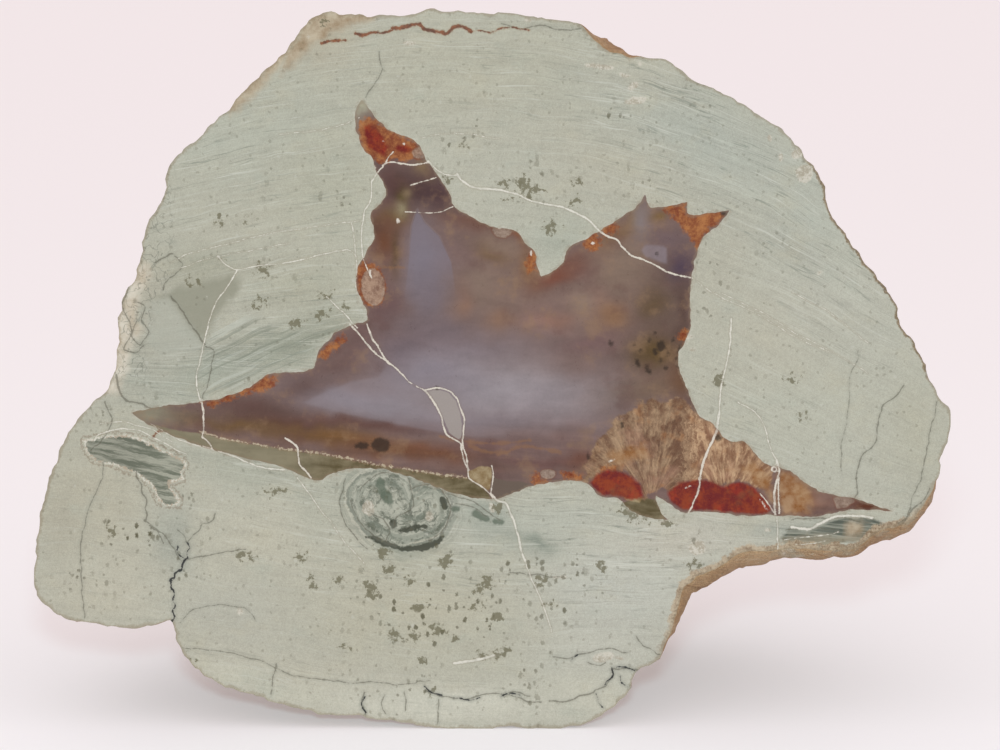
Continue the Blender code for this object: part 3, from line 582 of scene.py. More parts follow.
# The agate's tones, in the same way.
AGATE_TONE = (122, 101, 96)
AGATE_CLOUDS = (
    (505, 300, 80, 60, 0, 0.9, (131, 110, 100)), (570, 330, 60, 40, 0, 0.8, (131, 109, 104)),
    (560, 400, 70, 40, 0, 0.9, (127, 108, 105)), (600, 370, 40, 40, 0, 0.8, (122, 101, 96)),
    (665, 300, 30, 70, 0, 0.9, (110, 92, 84)), (640, 390, 50, 16, 10, 0.8, (118, 96, 78)),
    (655, 352, 30, 16, 12, 0.9, (96, 78, 52)), (680, 380, 14, 24, 0, 0.8, (112, 82, 62)),
    (620, 262, 26, 34, 0, 1.0, (134, 113, 100)), (618, 232, 26, 8, 30, 0.9, (134, 105, 80)),
    (636, 213, 12, 8, 40, 0.9, (140, 114, 84)), (662, 222, 20, 14, 0, 0.9, (124, 103, 96)),
    (668, 238, 26, 14, 0, 0.8, (116, 98, 100)), (682, 268, 12, 14, 0, 1.0, (88, 75, 88)),
    (684, 310, 9, 34, 0, 0.8, (92, 74, 68)), (657, 212, 9, 6, 0, 0.9, (124, 98, 66)),
    (540, 320, 26, 14, 0, 0.7, (142, 112, 104)), (596, 300, 14, 18, 0, 0.6, (140, 112, 100)),
    (612, 318, 17, 15, 0, 0.9, (138, 108, 86)), (560, 272, 30, 10, 24, 0.9, (120, 84, 72)),
    (528, 262, 9, 22, 10, 0.8, (124, 90, 66)), (492, 252, 18, 10, -16, 0.9, (112, 86, 56)),
    (480, 226, 40, 8, -14, 0.8, (116, 84, 72)), (462, 300, 8, 16, 0, 0.5, (140, 106, 90)),
    (500, 316, 10, 8, 0, 0.4, (146, 110, 84)), (455, 250, 26, 16, -30, 0.7, (124, 102, 98)),
    (416, 188, 40, 20, -20, 1.0, (86, 68, 66)), (436, 192, 16, 12, -50, 0.8, (78, 61, 64)),
    (392, 186, 12, 14, 0, 0.8, (84, 64, 62)), (426, 171, 9, 6, -30, 0.9, (134, 112, 88)),
    (400, 196, 6, 14, 0, 0.9, (88, 76, 44)), (392, 216, 16, 12, 0, 0.9, (112, 88, 60)),
    (384, 240, 16, 24, 0, 1.0, (112, 78, 62)), (397, 252, 5, 20, 0, 0.8, (92, 72, 44)),
    (376, 226, 8, 8, 0, 0.8, (98, 74, 64)), (385, 305, 16, 22, 0, 0.9, (110, 86, 84)),
    (362, 340, 16, 12, 30, 0.8, (112, 88, 84)), (421, 266, 13, 40, 0, 1.0, (126, 117, 124)),
    (428, 290, 22, 36, 0, 0.9, (121, 109, 114)), (440, 330, 50, 20, 0, 0.9, (118, 104, 107)),
    (470, 350, 60, 14, 0, 0.8, (124, 110, 114)), (400, 350, 26, 16, 20, 0.8, (116, 100, 104)),
    (500, 390, 90, 30, -3, 1.0, (157, 148, 151)), (430, 375, 50, 24, 0, 0.9, (139, 130, 138)),
    (540, 400, 50, 24, 0, 0.8, (150, 139, 142)), (480, 425, 90, 12, -3, 0.8, (136, 124, 128)),
    (350, 398, 60, 14, -7, 1.0, (139, 129, 135)), (390, 408, 50, 12, -5, 0.8, (142, 133, 138)),
    (430, 396, 24, 14, 0, 0.6, (136, 122, 120)), (300, 385, 30, 9, 20, 0.9, (108, 88, 84)),
    (340, 362, 26, 12, 30, 0.8, (112, 90, 86)), (330, 374, 24, 5, 22, 0.6, (124, 106, 104)),
    (255, 408, 50, 12, -4, 1.0, (99, 79, 74)), (180, 416, 36, 8, -5, 1.0, (116, 100, 88)),
    (150, 414, 22, 10, -5, 1.2, (140, 132, 115)),
    (290, 424, 60, 9, -5, 0.9, (96, 72, 64)), (370, 424, 80, 7, -5, 0.9, (104, 78, 72)),
    (330, 437, 70, 9, -6, 1.0, (116, 88, 62)), (240, 428, 50, 7, -7, 0.9, (112, 88, 64)),
    (400, 450, 60, 9, -6, 0.9, (114, 78, 58)), (440, 456, 40, 9, -6, 0.9, (118, 82, 64)),
    (500, 448, 60, 7, 0, 0.8, (118, 92, 88)), (560, 440, 50, 12, 0, 0.9, (126, 104, 100)),
    (540, 462, 50, 6, 0, 0.9, (116, 88, 84)), (580, 462, 16, 12, 0, 0.8, (112, 78, 66)),
    (500, 470, 40, 5, 0, 0.7, (110, 88, 80)), (812, 500, 20, 12, 0, 0.9, (138, 102, 84)),
    (800, 492, 9, 14, 0, 0.8, (154, 118, 88)), (825, 498, 9, 6, 0, 0.8, (146, 118, 106)),
    (868, 505, 26, 8, 0, 1.0, (97, 62, 44)), (360, 104, 10, 16, 0, 1.4, (160, 153, 135)),
    (578, 303, 12, 16, 0, 1.0, (141, 120, 107)),
    (500, 247, 24, 10, -16, 0.9, (141, 119, 106)), (522, 234, 10, 5, -30, 0.8, (128, 84, 62)),
    (548, 278, 14, 6, 20, 0.7, (122, 78, 66)), (578, 267, 12, 6, 20, 0.6, (120, 86, 76)),
    (556, 319, 16, 9, 0, 0.45, (148, 110, 92)), (458, 306, 12, 10, 0, 0.4, (146, 112, 90)),
    (499, 322, 18, 8, 0, 0.4, (146, 112, 90)), (628, 264, 18, 26, 0, 0.9, (133, 113, 101)),
    (613, 318, 13, 10, 0, 0.6, (142, 108, 86)), (652, 305, 14, 16, 0, 0.7, (100, 82, 60)),
    (590, 345, 30, 10, 10, 0.6, (118, 92, 92)), (480, 282, 12, 18, 0, 0.6, (138, 118, 106)),
    (690, 420, 14, 8, 0, 0.5, (112, 94, 92)), (700, 402, 10, 10, 0, 0.6, (104, 84, 74)),
    (641, 216, 9, 20, -8, 0.9, (134, 122, 121)), (577, 364, 24, 16, 0, 0.7, (124, 103, 97)),
    (398, 209, 7, 9, -10, 1.0, (152, 140, 112)), (405, 190, 5, 6, 0, 0.8, (138, 118, 94)),
)


def ease(value, start, width):
    """A smooth step from 0 at start to 1 at start + width."""
    share = np.clip((value - start) / width, 0.0, 1.0)
    return share * share * (3.0 - 2.0 * share)


def hashed(cells, seed):
    """A number from 0 to 1 for every whole-number cell: its coordinates scrambled together."""
    mixed = np.full(cells.shape[:-1], seed, dtype=np.uint64)
    for axis in range(cells.shape[-1]):
        mixed = (mixed ^ cells[..., axis].astype(np.uint64)) * np.uint64(0x9E3779B97F4A7C15)
        mixed ^= mixed >> np.uint64(29)
    return (mixed >> np.uint64(11)).astype(float) / 2.0**53


def lattice_noise(points, size, seed):
    """Smooth noise from -1 to 1: random values at lattice corners a size apart, eased in between."""
    place = np.asarray(points) / size
    corner = np.floor(place).astype(np.int64)
    share = ease(place - corner, 0.0, 1.0)
    total = np.zeros(place.shape[:-1])
    for number in range(2 ** place.shape[-1]):
        step = np.array([number >> axis & 1 for axis in range(place.shape[-1])])
        weight = np.prod(np.where(step == 1, share, 1.0 - share), axis=-1)
        total += weight * hashed(corner + step, seed)
    return 2.0 * total - 1.0


def on_face(pixels):
    """Places (x, h) in millimetres of pixels of the photograph."""
    return (np.asarray(pixels, dtype=float) - PHOTO_ZERO) * (PIXEL, -PIXEL)


def in_photo(points):
    """Pixels of the photograph of places (x, h)."""
    return np.asarray(points) / (PIXEL, -PIXEL) + PHOTO_ZERO


def layered_noise(points, *layers):
    """Lattice noises added up; each layer is its height, size and seed."""
    return sum(height * lattice_noise(points, size, seed) for height, size, seed in layers)


def unit(vectors):
    """Vectors cut or stretched to a length of 1."""
    return vectors / np.hypot(*vectors.T)[:, None]


def headings(outline):
    """The direction from each corner of a closed outline to the next."""
    return unit(np.roll(outline, -1, axis=0) - outline)


def curve_through(corners, spacing, closed=False):
    """Points at even steps along a smooth curve through the corners.

    Each stretch is a cubic; its slope at a corner is the mean of the two sides' directions there,
    less where they turn sharply, times the stretch's length. So curves stay close to their corners,
    and sharp tips stay sharp.
    """
    corners = np.asarray(corners, dtype=float)
    if closed:
        corners = np.vstack([corners, corners[:1]])
    ahead = np.diff(corners, axis=0)
    length = np.hypot(*ahead.T)[:, None]
    way = ahead / length
    before = np.roll(way, 1, axis=0)
    gentle = np.clip((way * before).sum(axis=1) + TURN_ALLOWED, 0.0, 1.0)[:, None]
    slope = (way + before) / 2 * gentle
    if closed:
        slope = np.vstack([slope, slope[:1]])
    else:
        slope = np.vstack([way[:1], slope[1:], way[-1:]])
    t = np.linspace(0.0, 1.0, STRETCH_SAMPLES, endpoint=False)[None, :, None]
    leave, arrive = (slope[:-1] * length)[:, None], (slope[1:] * length)[:, None]
    start, end = corners[:-1, None], corners[1:, None]
    dense = start * (1 + 2 * t) * (1 - t) ** 2 + leave * t * (1 - t) ** 2
    dense = dense + end * t * t * (3 - 2 * t) + arrive * t * t * (t - 1)
    dense = np.vstack([dense.reshape(-1, 2), corners[-1:]])
    run = np.concatenate([[0.0], np.cumsum(np.hypot(*np.diff(dense, axis=0).T))])
    stops = np.linspace(0.0, run[-1], max(2, round(run[-1] / spacing) + 1))
    if closed:
        stops = stops[:-1]
    return np.stack([np.interp(stops, run, dense[:, axis]) for axis in (0, 1)], axis=1)


def outline_normals(edge):
    """Unit vectors out of a clockwise closed outline, each the mean of its two sides' normals."""
    ahead = headings(edge)
    normal = ahead + np.roll(ahead, 1, axis=0)
    return unit(np.stack([-normal[:, 1], normal[:, 0]], axis=1))


def chipped(edge, size, depth, seed):
    """An outline with small chips in and out of it: noise of two sizes along its normals.

    Where the outline turns sharply, as at the agate's tips, the chips fade out.
    """
    chips = layered_noise(edge, (1.0, size, seed), (0.5, size / 2.3, seed + 1))
    ahead = headings(edge)
    straight = np.clip((ahead * np.roll(ahead, 1, axis=0)).sum(axis=1), 0.0, 1.0) ** 4
    straight = np.minimum(straight, np.minimum(np.roll(straight, 1), np.roll(straight, -1)))
    return edge + outline_normals(edge) * (chips * depth * straight)[:, None]


def distance(points, corners):
    """Distance from each point to the nearest of the straight sides between corners in a row."""
    nearest = np.full(len(points), np.inf)
    for start, end in zip(corners[:-1], corners[1:]):
        along, offset = end - start, points - start
        share = np.clip(offset @ along / max(along @ along, TINY), 0.0, 1.0)
        nearest = np.minimum(nearest, ((offset - share[:, None] * along) ** 2).sum(axis=1))
    return np.sqrt(nearest)


def signed_distance(points, loop):
    """Distance to a closed outline, positive inside it.

    A place is inside where a ray from it crosses the outline an odd number of times.
    """
    inside = np.zeros(len(points), dtype=bool)
    for start, end in zip(loop, np.roll(loop, -1, axis=0)):
        along, offset = end - start, points - start
        passes = (start[1] > points[:, 1]) != (end[1] > points[:, 1])
        inside ^= passes & (offset[:, 0] < offset[:, 1] * along[0] / (along[1] or 1.0))
    return np.where(inside, 1.0, -1.0) * distance(points, np.vstack([loop, loop[:1]]))


def within(points, outer, holes, clear):
    """Which points are inside an outline and outside its holes, and clear of both by a distance."""
    kept = signed_distance(points, outer) > clear
    for hole in holes:
        kept &= signed_distance(points, hole) < -clear
    return kept


def near_box(points, line, reach):
    """Which points are within reach of the box around a line."""
    low, high = line.min(axis=0) - reach, line.max(axis=0) + reach
    return ((points > low) & (points < high)).all(axis=1)


def zone_field(points, outlines, reach=FIELD_REACH):
    """Distance in millimetres to the nearest of several closed outlines, positive inside them."""
    field = np.full(len(points), FAR_AWAY)
    for outline in outlines:
        loop = on_face(outline)
        near = near_box(points, loop, reach)
        field[near] = np.maximum(field[near], signed_distance(points[near], loop))
    return field


def stroke_field(points, strokes, reach=FIELD_REACH):
    """Half width less distance in millimetres, for the nearest of several lines."""
    field = np.full(len(points), FAR_AWAY)
    for half_width, line in strokes:
        near = near_box(points, line, reach)
        field[near] = np.maximum(field[near], half_width - distance(points[near], line))
    return field


def soft_field(points, patches):
    """The sum of soft ovals: each falls off as a bell curve from its middle, times its strength."""
    pixels = in_photo(points)
    return sum(strength * bell(pixels, *shape) for *shape, strength in patches)


def bell(pixels, x, y, half_width, half_height, turn):
    """A soft oval, 1 in its middle, turned anticlockwise by an angle in degrees."""
    right, down = pixels[:, 0] - x, pixels[:, 1] - y
    turn = math.radians(turn)
    across = (right * math.cos(turn) - down * math.sin(turn)) / half_width
    up = (right * math.sin(turn) + down * math.cos(turn)) / half_height
    return np.exp(-(across**2) - up**2)


def clouded(points, plain, clouds):
    """A colour for each place: a plain tone with soft ovals of other tones laid over it in turn.

    The ovals' edges are drawn out of round by noise of two sizes in the places.
    """
    drift = np.stack([
        layered_noise(points, *((height, size, seed + axis) for height, size, seed in CLOUD_DRIFT))
        for axis in (0, 1)
    ], axis=1)
    pixels = in_photo(points) + drift
    colours = np.tile(tone(*plain), (len(points), 1))
    for *shape, strength, colour in clouds:
        share = strength * bell(pixels, *shape)[:, None]
        colours += share * (np.array(tone(*colour)) - colours)
    return colours


def flow_bands(points):
    """Height of each place among the rock's flow bands, in millimetres.

    Above and below a line through the middle, a band drops by the sum of its slope along x; the two
    halves are blended across that line.
    """
    x, y = in_photo(points).T
    columns = np.arange(PHOTO_WIDTH)
    middle = int(PHOTO_ZERO[0])
    heights = []
    for slopes in (UPPER_SLOPE, LOWER_SLOPE):
        drop = np.cumsum(np.interp(columns, *zip(*slopes)))
        heights.append(y - np.interp(x, columns, drop - drop[middle]))
    lower = ease(y, np.interp(x, *zip(*BETWEEN_ROW)) - BETWEEN_EASE, 2 * BETWEEN_EASE)
    bands = (heights[0] * (1 - lower) + heights[1] * lower) * PIXEL
    return bands + layered_noise(points, *BAND_DRIFT)


def flat_front_loops(node):
    """The closed outlines of a CAD node's flat front, widest first, clockwise, as (x, h)."""
    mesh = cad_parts[node].data
    mesh.calc_loop_triangles()
    corners = np.empty(3 * len(mesh.vertices))
    mesh.vertices.foreach_get("co", corners)
    x, y, z = (corners.reshape(-1, 3) / MM + (BOX_MIDDLE_X, BOX_MIDDLE_Y, FOOT_TRIM)).T
    places = np.stack([
        x, y * math.sin(LEAN) + z * math.cos(LEAN), y * math.cos(LEAN) - z * math.sin(LEAN)
    ], axis=1)
    places, merged = np.unique(places.round(3), axis=0, return_inverse=True)
    triangles = np.empty(3 * len(mesh.loop_triangles), dtype=np.int32)
    mesh.loop_triangles.foreach_get("vertices", triangles)
    triangles = merged.ravel()[triangles].reshape(-1, 3)
    triangles = triangles[(np.abs(places[triangles, 2]) < IN_PLANE).all(axis=1)]
    sides = {(a, b) for corner in triangles for a, b in zip(corner, np.roll(corner, -1))}
    following = {a: b for a, b in sides if (b, a) not in sides}
    loops = []
    while following:
        chain = [next(iter(following))]
        while following[chain[-1]] != chain[0]:
            chain.append(following[chain[-1]])
        for corner in chain:
            del following[corner]
        loop = places[chain, :2]
        ahead = np.roll(loop, -1, axis=0)
        clockwise = (loop[:, 0] * ahead[:, 1] - ahead[:, 0] * loop[:, 1]).sum() < 0
        loops.append(loop if clockwise else loop[::-1])
    return sorted(loops, key=lambda loop: np.ptp(loop[:, 0]), reverse=True)


def face_lattice(outer, holes, spacing, fine):
    """Slightly shaken lattice points inside an outline, at half the spacing where fine is true."""
    low, high = outer.min(axis=0), outer.max(axis=0)
    counts = np.ceil((high - low) / spacing * 2).astype(int)
    column, row = np.meshgrid(np.arange(counts[0]), np.arange(counts[1]), indexing="ij")
    cells = np.stack([column.ravel(), row.ravel()], axis=1)
    points = low + cells * spacing / 2
    coarse = (cells % 2 == 0).all(axis=1)
    clear = np.where(coarse, COARSE_CLEAR, FINE_CLEAR) * spacing
    kept = coarse | fine(points)
    points, clear, cells = points[kept], clear[kept], cells[kept]
    shake = np.stack([hashed(cells, 11), hashed(cells, 12)], axis=1) - 0.5
    points = points + shake * clear[:, None] * SHAKE
    kept = within(points, outer, holes, clear)
    return points[kept], clear[kept]


def wobbled(line, seed, wobble):
    """A stroke with a hand's unsteadiness: noise of two sizes added to its places."""
    drift = [
        layered_noise(line, (1.6, 2.4, seed + axis), (1.0, 0.9, seed + 7 + axis)) for axis in (0, 3)
    ]
    return line + wobble * np.stack(drift, axis=1)


def strokes_on_face(table, wobble=VEIN_WOBBLE):
    """The lines of a feature table as curves on the face: (half width, points) for each."""
    return [
        (half_width, wobbled(curve_through(on_face(line), STROKE_SPACING), 20 + number, wobble))
        for number, (half_width, line) in enumerate(table)
    ]


def beside(strokes, outer, holes):
    """Points on both sides of every stroke, so that its breadth is kept exactly."""
    points = [np.empty((0, 2))]
    for _, line in strokes:
        ahead = np.gradient(line, axis=0)
        across = unit(np.stack([-ahead[:, 1], ahead[:, 0]], axis=1))
        points += [line + FLANK * across, line - FLANK * across]
    points = np.vstack(points)
    return points[within(points, outer, holes, FLANK)]


def triangulated(outer, holes, strokes, lattice):
    """A flat surface between outlines that is also cut along the strokes.

    Delaunay triangles through every outline, every stroke's part inside and the lattice. Gives the
    corners, the triangles and, for each outline, which corners it has become.
    """
    points, sides, loops, total = [], [], [], 0
    for loop in (outer, *holes):
        own = np.arange(len(loop)) + total
        loops.append(own)
        sides.append(np.stack([own, np.roll(own, -1)], axis=1))
        points.append(loop)
        total += len(loop)
    for _, line in strokes:
        inside = within(line, outer, holes, CLEAR_OF_EDGE)
        own = np.arange(len(line)) + total
        both = inside[:-1] & inside[1:]
        sides.append(np.stack([own[:-1], own[1:]], axis=1)[both])
        spare = line[inside][:1] if inside.any() else outer[:1]
        points.append(np.where(inside[:, None], line, spare))
        total += len(line)
    grid, clear = lattice
    flanks = beside(strokes, outer, holes)
    cut = np.vstack([*points, flanks])
    free = np.ones(len(grid), dtype=bool)
    for piece in points[1 + len(holes):]:
        near = np.flatnonzero(near_box(grid, piece, NEAR_STROKE))
        gap = grid[near][:, None] - piece[None]
        free[near] &= (np.hypot(gap[..., 0], gap[..., 1]) > clear[near][:, None]).all(axis=1)
    points = np.vstack([cut, grid[free]])
    sides = np.vstack(sides)
    made = geometry.delaunay_2d_cdt(points.tolist(), sides.tolist(), [], 0, SAME_PLACE)
    corners = np.array([tuple(corner) for corner in made[0]])
    triangles = np.array(made[2])
    became = np.zeros(len(points), dtype=int)
    became[np.concatenate(made[3]).astype(int)] = np.repeat(
        np.arange(len(made[3])), [len(sources) for sources in made[3]]
    )
    triangles = triangles[within(corners[triangles].mean(axis=1), outer, holes, 0.0)]
    used = np.unique(np.concatenate([triangles.ravel(), *(became[own] for own in loops)]))
    renumbered = np.full(len(corners), -1)
    renumbered[used] = np.arange(len(used))
    return corners[used], renumbered[triangles], [renumbered[became[own]] for own in loops]


def side_of_lobe(points):
    """Signed distance to the line between the lobe's notch and its shoulder: positive in the lobe."""
    along = (LOBE_HIGH - LOBE_LOW) / np.hypot(*(LOBE_HIGH - LOBE_LOW))
    offset = points - LOBE_LOW
    return offset[..., 1] * along[0] - offset[..., 0] * along[1]


def skirt_reach(edge):
    """How far the skin behind each point of the sawn edge stands out past it."""
    x, h = edge.T
    undercut = np.interp(x, *zip(*UNDERCUT_REACH), left=0.0, right=0.0) * (h < UNDERCUT_TOP)
    shoulder = np.interp(x, *zip(*SHOULDER_REACH), left=0.0, right=0.0) * (h > SHOULDER_BOTTOM)
    return SKIRT_EVEN + undercut + shoulder


def mean_radius(angle, radius, spread):
    """Each edge point's distance from the face's middle, averaged with its neighbours' distances."""
    full = 2 * math.pi
    apart = (angle[:, None] - angle[None, :] + math.pi) % full - math.pi
    spacing = np.abs((np.roll(angle, -1) - np.roll(angle, 1) + math.pi) % full - math.pi)
    weight = np.exp(-((apart / spread) ** 2)) * spacing
    return (weight * radius).sum(axis=1) / weight.sum(axis=1)


def smoothed_outline(edge):
    """The sawn edge with its outer corners drawn well in and its notches filled a little."""
    spokes = edge - FACE_MIDDLE
    radius = np.hypot(*spokes.T)
    angle = np.arctan2(spokes[:, 1], spokes[:, 0])
    calmed = np.minimum(
        mean_radius(angle, radius, WIDE_SPREAD), mean_radius(angle, radius, NARROW_SPREAD)
    )
    return FACE_MIDDLE + spokes * (calmed / radius)[:, None]


def crown_outline(edge):
    """The oval that the back ends in, at each edge point's direction from the face's middle."""
    spokes = edge - FACE_MIDDLE
    return FACE_MIDDLE + spokes / np.hypot(*(spokes / CROWN).T)[:, None]


def roughness(x, h, d):
    """How far the weathered skin lies below the smooth form: lumps, ledges along the bands."""
    lumps = sum(
        share * np.sin(along_x * x + along_h * h + along_d * d + start)
        for share, along_x, along_h, along_d, start in LUMP_WAVES
    )
    waver = BAND_WAVER * np.sin(BAND_WAVER_RATE[0] * x + BAND_WAVER_RATE[1] * d)
    height = h + BAND_TILT * x + waver
    band = height / LEDGE_PITCH % 1.0
    ledges = ease(band, 0.0, LEDGE_RISE) - ease(band, LEDGE_RISE, 1.0 - LEDGE_RISE)
    return LUMP_HEIGHT * (1.0 + lumps) + LEDGE_HEIGHT * ledges


def pits(x, h, d):
    """Round hollows of several sizes, spread over the back by the golden angle."""
    depth = np.zeros_like(x)
    for index in range(PIT_COUNT):
        reach = math.sqrt((index + 0.5) / PIT_COUNT)
        turn = index * GOLDEN_ANGLE
        centre_x = FACE_MIDDLE[0] + PIT_FIELD[0] * reach * math.cos(turn)
        centre_h = FACE_MIDDLE[1] - PIT_FIELD_DROP + PIT_FIELD[1] * reach * math.sin(turn)
        size = PIT_SIZE + PIT_SIZE_SPREAD * (index * PIT_SIZE_STEP % 1.0)
        strength = 0.5 + 0.5 * (index * PIT_STRENGTH_STEP % 1.0)
        away = np.hypot(x - centre_x, h - centre_h) / size
        depth += PIT_DEPTH * strength * np.exp(-(away**2))
    return depth * ease(d, PITS_FROM, PITS_EASE)


def back_profile():
    """Depth and scale of each ring: a superellipse's quarter, at even steps along it."""
    turn = np.linspace(0.0, math.pi / 2, PROFILE_SAMPLES)
    depth = THICKNESS * np.sin(turn) ** (2 / BACK_FULLNESS)
    scale = np.cos(turn) ** (2 / BACK_FULLNESS)
    steps = np.hypot(np.diff(depth), PROFILE_RADIUS * np.diff(scale))
    run = np.concatenate([[0.0], np.cumsum(steps)])
    stops = np.linspace(FIRST_ROW_DEPTH, run[-1], SKIN_ROWS + 1)[:-1]
    stops = np.concatenate([[0.0], stops])
    return np.interp(stops, run, depth)[:, None], np.interp(stops, run, scale)[:, None]


def crust(points, depth):
    """Skin points sunk by fine relief along the skin's own normals.

    The relief is noise of three sizes and thin ledges along the bands, about its mean; it fades out
    at the sawn edge.
    """
    along = np.roll(points, -1, axis=1) - np.roll(points, 1, axis=1)
    back = np.gradient(points, axis=0)
    normal = np.cross(along, back)
    normal /= np.maximum(np.linalg.norm(normal, axis=-1), 1e-9)[..., None]
    away = points - (*FACE_MIDDLE, 0.0)
    normal *= np.sign((normal * away).sum(axis=-1).mean())
    sunk = sum(
        deep * (0.5 + 0.5 * lattice_noise(points, size, 30 + number))
        for number, (size, deep) in enumerate(CRUST_GRAINS)
    )
    height = points[..., 1] + BAND_TILT * points[..., 0] + layered_noise(points, CRUST_WAVER)
    band = height / THIN_LEDGE_PITCH % 1.0
    ledges = ease(band, 0.0, THIN_LEDGE_RISE) - ease(band, THIN_LEDGE_RISE, 1.0 - THIN_LEDGE_RISE)
    sunk = sunk + THIN_LEDGE_DEPTH * ledges - sunk.mean()
    further_back = CRUST_FRONT + (1 - CRUST_FRONT) * ease(depth, *CRUST_GROWS)
    strength = ease(depth, 0.0, CRUST_RIM) * further_back
    return points - normal * (sunk * strength)[..., None]


def stone_rings(edge, normals):
    """Rings of points from the sawn edge to the top of the back, as an array of (x, h, d)."""
    depth, scale = back_profile()
    drop = (depth[..., None] / THICKNESS) ** DROP_POWER
    middle = FACE_MIDDLE - np.array((0.0, BACK_CENTRE_DROP)) * drop
    soften = ease(depth, 0.0, SMOOTHED_BY)[..., None]
    crown = ease(depth, CROWN_FROM, THICKNESS - CROWN_FROM)[..., None]
    outline = (1 - soften) * edge + soften * smoothed_outline(edge)
    outline = (1 - crown) * outline + crown * crown_outline(edge)
    points = middle + scale[..., None] * (outline - FACE_MIDDLE)

    outward = unit(edge - FACE_MIDDLE)
    swell = (depth / SKIRT_DEPTH) * np.exp(1 - depth / SKIRT_DEPTH)
    points = points + normals * (swell * skirt_reach(edge))[..., None]

    lobe = ease(side_of_lobe(points), 0.0, LOBE_EASE)
    wing = ease(points[..., 0], WING_START, WING_EASE)
    groove = np.exp(-((side_of_lobe(points) / GROOVE_WIDTH) ** 2)) * ease(depth, 0.0, GROOVE_EASE)
    back = depth * (1 - LOBE_THINNER * lobe) * (1 - WING_THINNER * wing)

    calm = ease(depth, 0.0, CALM_RIM)
    x, h = points[..., 0], points[..., 1]
    sunk = calm * (roughness(x, h, back) + pits(x, h, back)) + GROOVE_DEPTH * groove
    facing_back = np.clip(back / THICKNESS, 0.0, 1.0) ** 2
    points = points - outward * (sunk * (1 - facing_back) * scale)[..., None]
    back = back - sunk * facing_back
    return crust(np.concatenate([points, back[..., None]], axis=-1), depth)


def standing(points):
    """Places (x, h, d) in metres with the face leaned back and the origin under the stone's middle."""
    x, h, d = np.moveaxis(points, -1, 0)
    y = h * math.sin(LEAN) + d * math.cos(LEAN)
    z = h * math.cos(LEAN) - d * math.sin(LEAN)
    return np.stack([x - BOX_MIDDLE_X, y - BOX_MIDDLE_Y, z - FOOT_TRIM], axis=-1) * MM


def pocket_rings(edge, normals, depth, gap):
    """The pocket's or the agate's sides: the border, drawn in towards the back, and set back a gap."""
    share = np.linspace(0.0, 1.0, POCKET_ROWS)[1:, None, None]
    scale = 1.0 - (1.0 - POCKET_FLOOR_SCALE) * share**POCKET_CURVE
    rings = POCKET_MIDDLE + scale * (edge - POCKET_MIDDLE) + normals * gap
    deep = np.broadcast_to(depth * share, (*rings.shape[:2], 1))
    return np.concatenate([rings, deep], axis=-1)


def between_rows(near, far):
    """Two triangles for each square between two closed rows of corner numbers."""
    near_next, far_next = np.roll(near, -1), np.roll(far, -1)
    return np.vstack([np.stack([near, near_next, far_next], 1), np.stack([near, far_next, far], 1)])


def closed_surface(name, front, triangles, sides, fields, tints, finishes):
    """A closed mesh piece: a flat front and rings of sides, each ended by a point or a flat floor.

    front holds (x, h); sides is a list of (the front's corners it starts from, rings, end), where end
    is a single place or None for a floor. fields are numbers, and tints colours, kept for every corner
    of the front.
    """
    places = [np.column_stack([front, np.zeros(len(front))])]
    surface, floors, total = [triangles], [], len(front)
    for start, rings, tip in sides:
        rows = np.arange(rings.shape[0] * rings.shape[1]).reshape(rings.shape[:2]) + total
        places.append(rings.reshape(-1, 3))
        total += rows.size
        for near, far in zip([start, *rows[:-1]], rows):
            surface.append(between_rows(near, far))
        if tip is None:
            floors.append(rows[-1].tolist())
        else:
            places.append(np.array(tip)[None])
            surface.append(np.stack(
                [rows[-1], np.roll(rows[-1], -1), np.full(len(start), total)], axis=1
            ))
            total += 1
    corners = standing(np.vstack(places))
    corners = np.clip(corners, *(np.array(corner) for corner in cad_box))
    surface = np.vstack(surface)
    surface = surface[(surface != np.roll(surface, 1, axis=1)).all(axis=1)]
    mesh = bpy.data.meshes.new(name)
    mesh.from_pydata(corners.tolist(), [], surface.tolist() + floors)
    for field, values in fields.items():
        padded = np.zeros(len(corners), dtype=np.float32)
        padded[:len(values)] = values
        mesh.attributes.new(field, "FLOAT", "POINT").data.foreach_set("value", padded)
    shades = np.ones((len(corners), 4), dtype=np.float32)
    shades[:len(tints)] = tints
    mesh.attributes.new("tint", "FLOAT_COLOR", "POINT").data.foreach_set("color", shades.ravel())
    made = bmesh.new()
    made.from_mesh(mesh)
    bmesh.ops.recalc_face_normals(made, faces=made.faces)
    made.to_mesh(mesh)
    made.free()
    on_front = np.arange(len(mesh.polygons)) < len(triangles)
    mesh.polygons.foreach_set("use_smooth", ~on_front)
    mesh.polygons.foreach_set("material_index", np.where(on_front, 0, 1).astype(np.int32))
    for finish in finishes:
        mesh.materials.append(finish)
    piece = bpy.data.objects.new(name, mesh)
    bpy.context.scene.collection.objects.link(piece)
    return piece


class Wire:
    """A shader socket that takes part in sums: each operator adds a maths node."""

    def __init__(self, finish, socket):
        self.finish = finish
        self.socket = socket

    def __add__(self, other):
        return self.finish.maths("ADD", self, other)

    def __sub__(self, other):
        return self.finish.maths("SUBTRACT", self, other)

    def __rsub__(self, other):
        return self.finish.maths("SUBTRACT", other, self)

    def __mul__(self, other):
        return self.finish.maths("MULTIPLY", self, other)

    def __abs__(self):
        return self.finish.maths("ABSOLUTE", self)

    __radd__, __rmul__ = __add__, __mul__


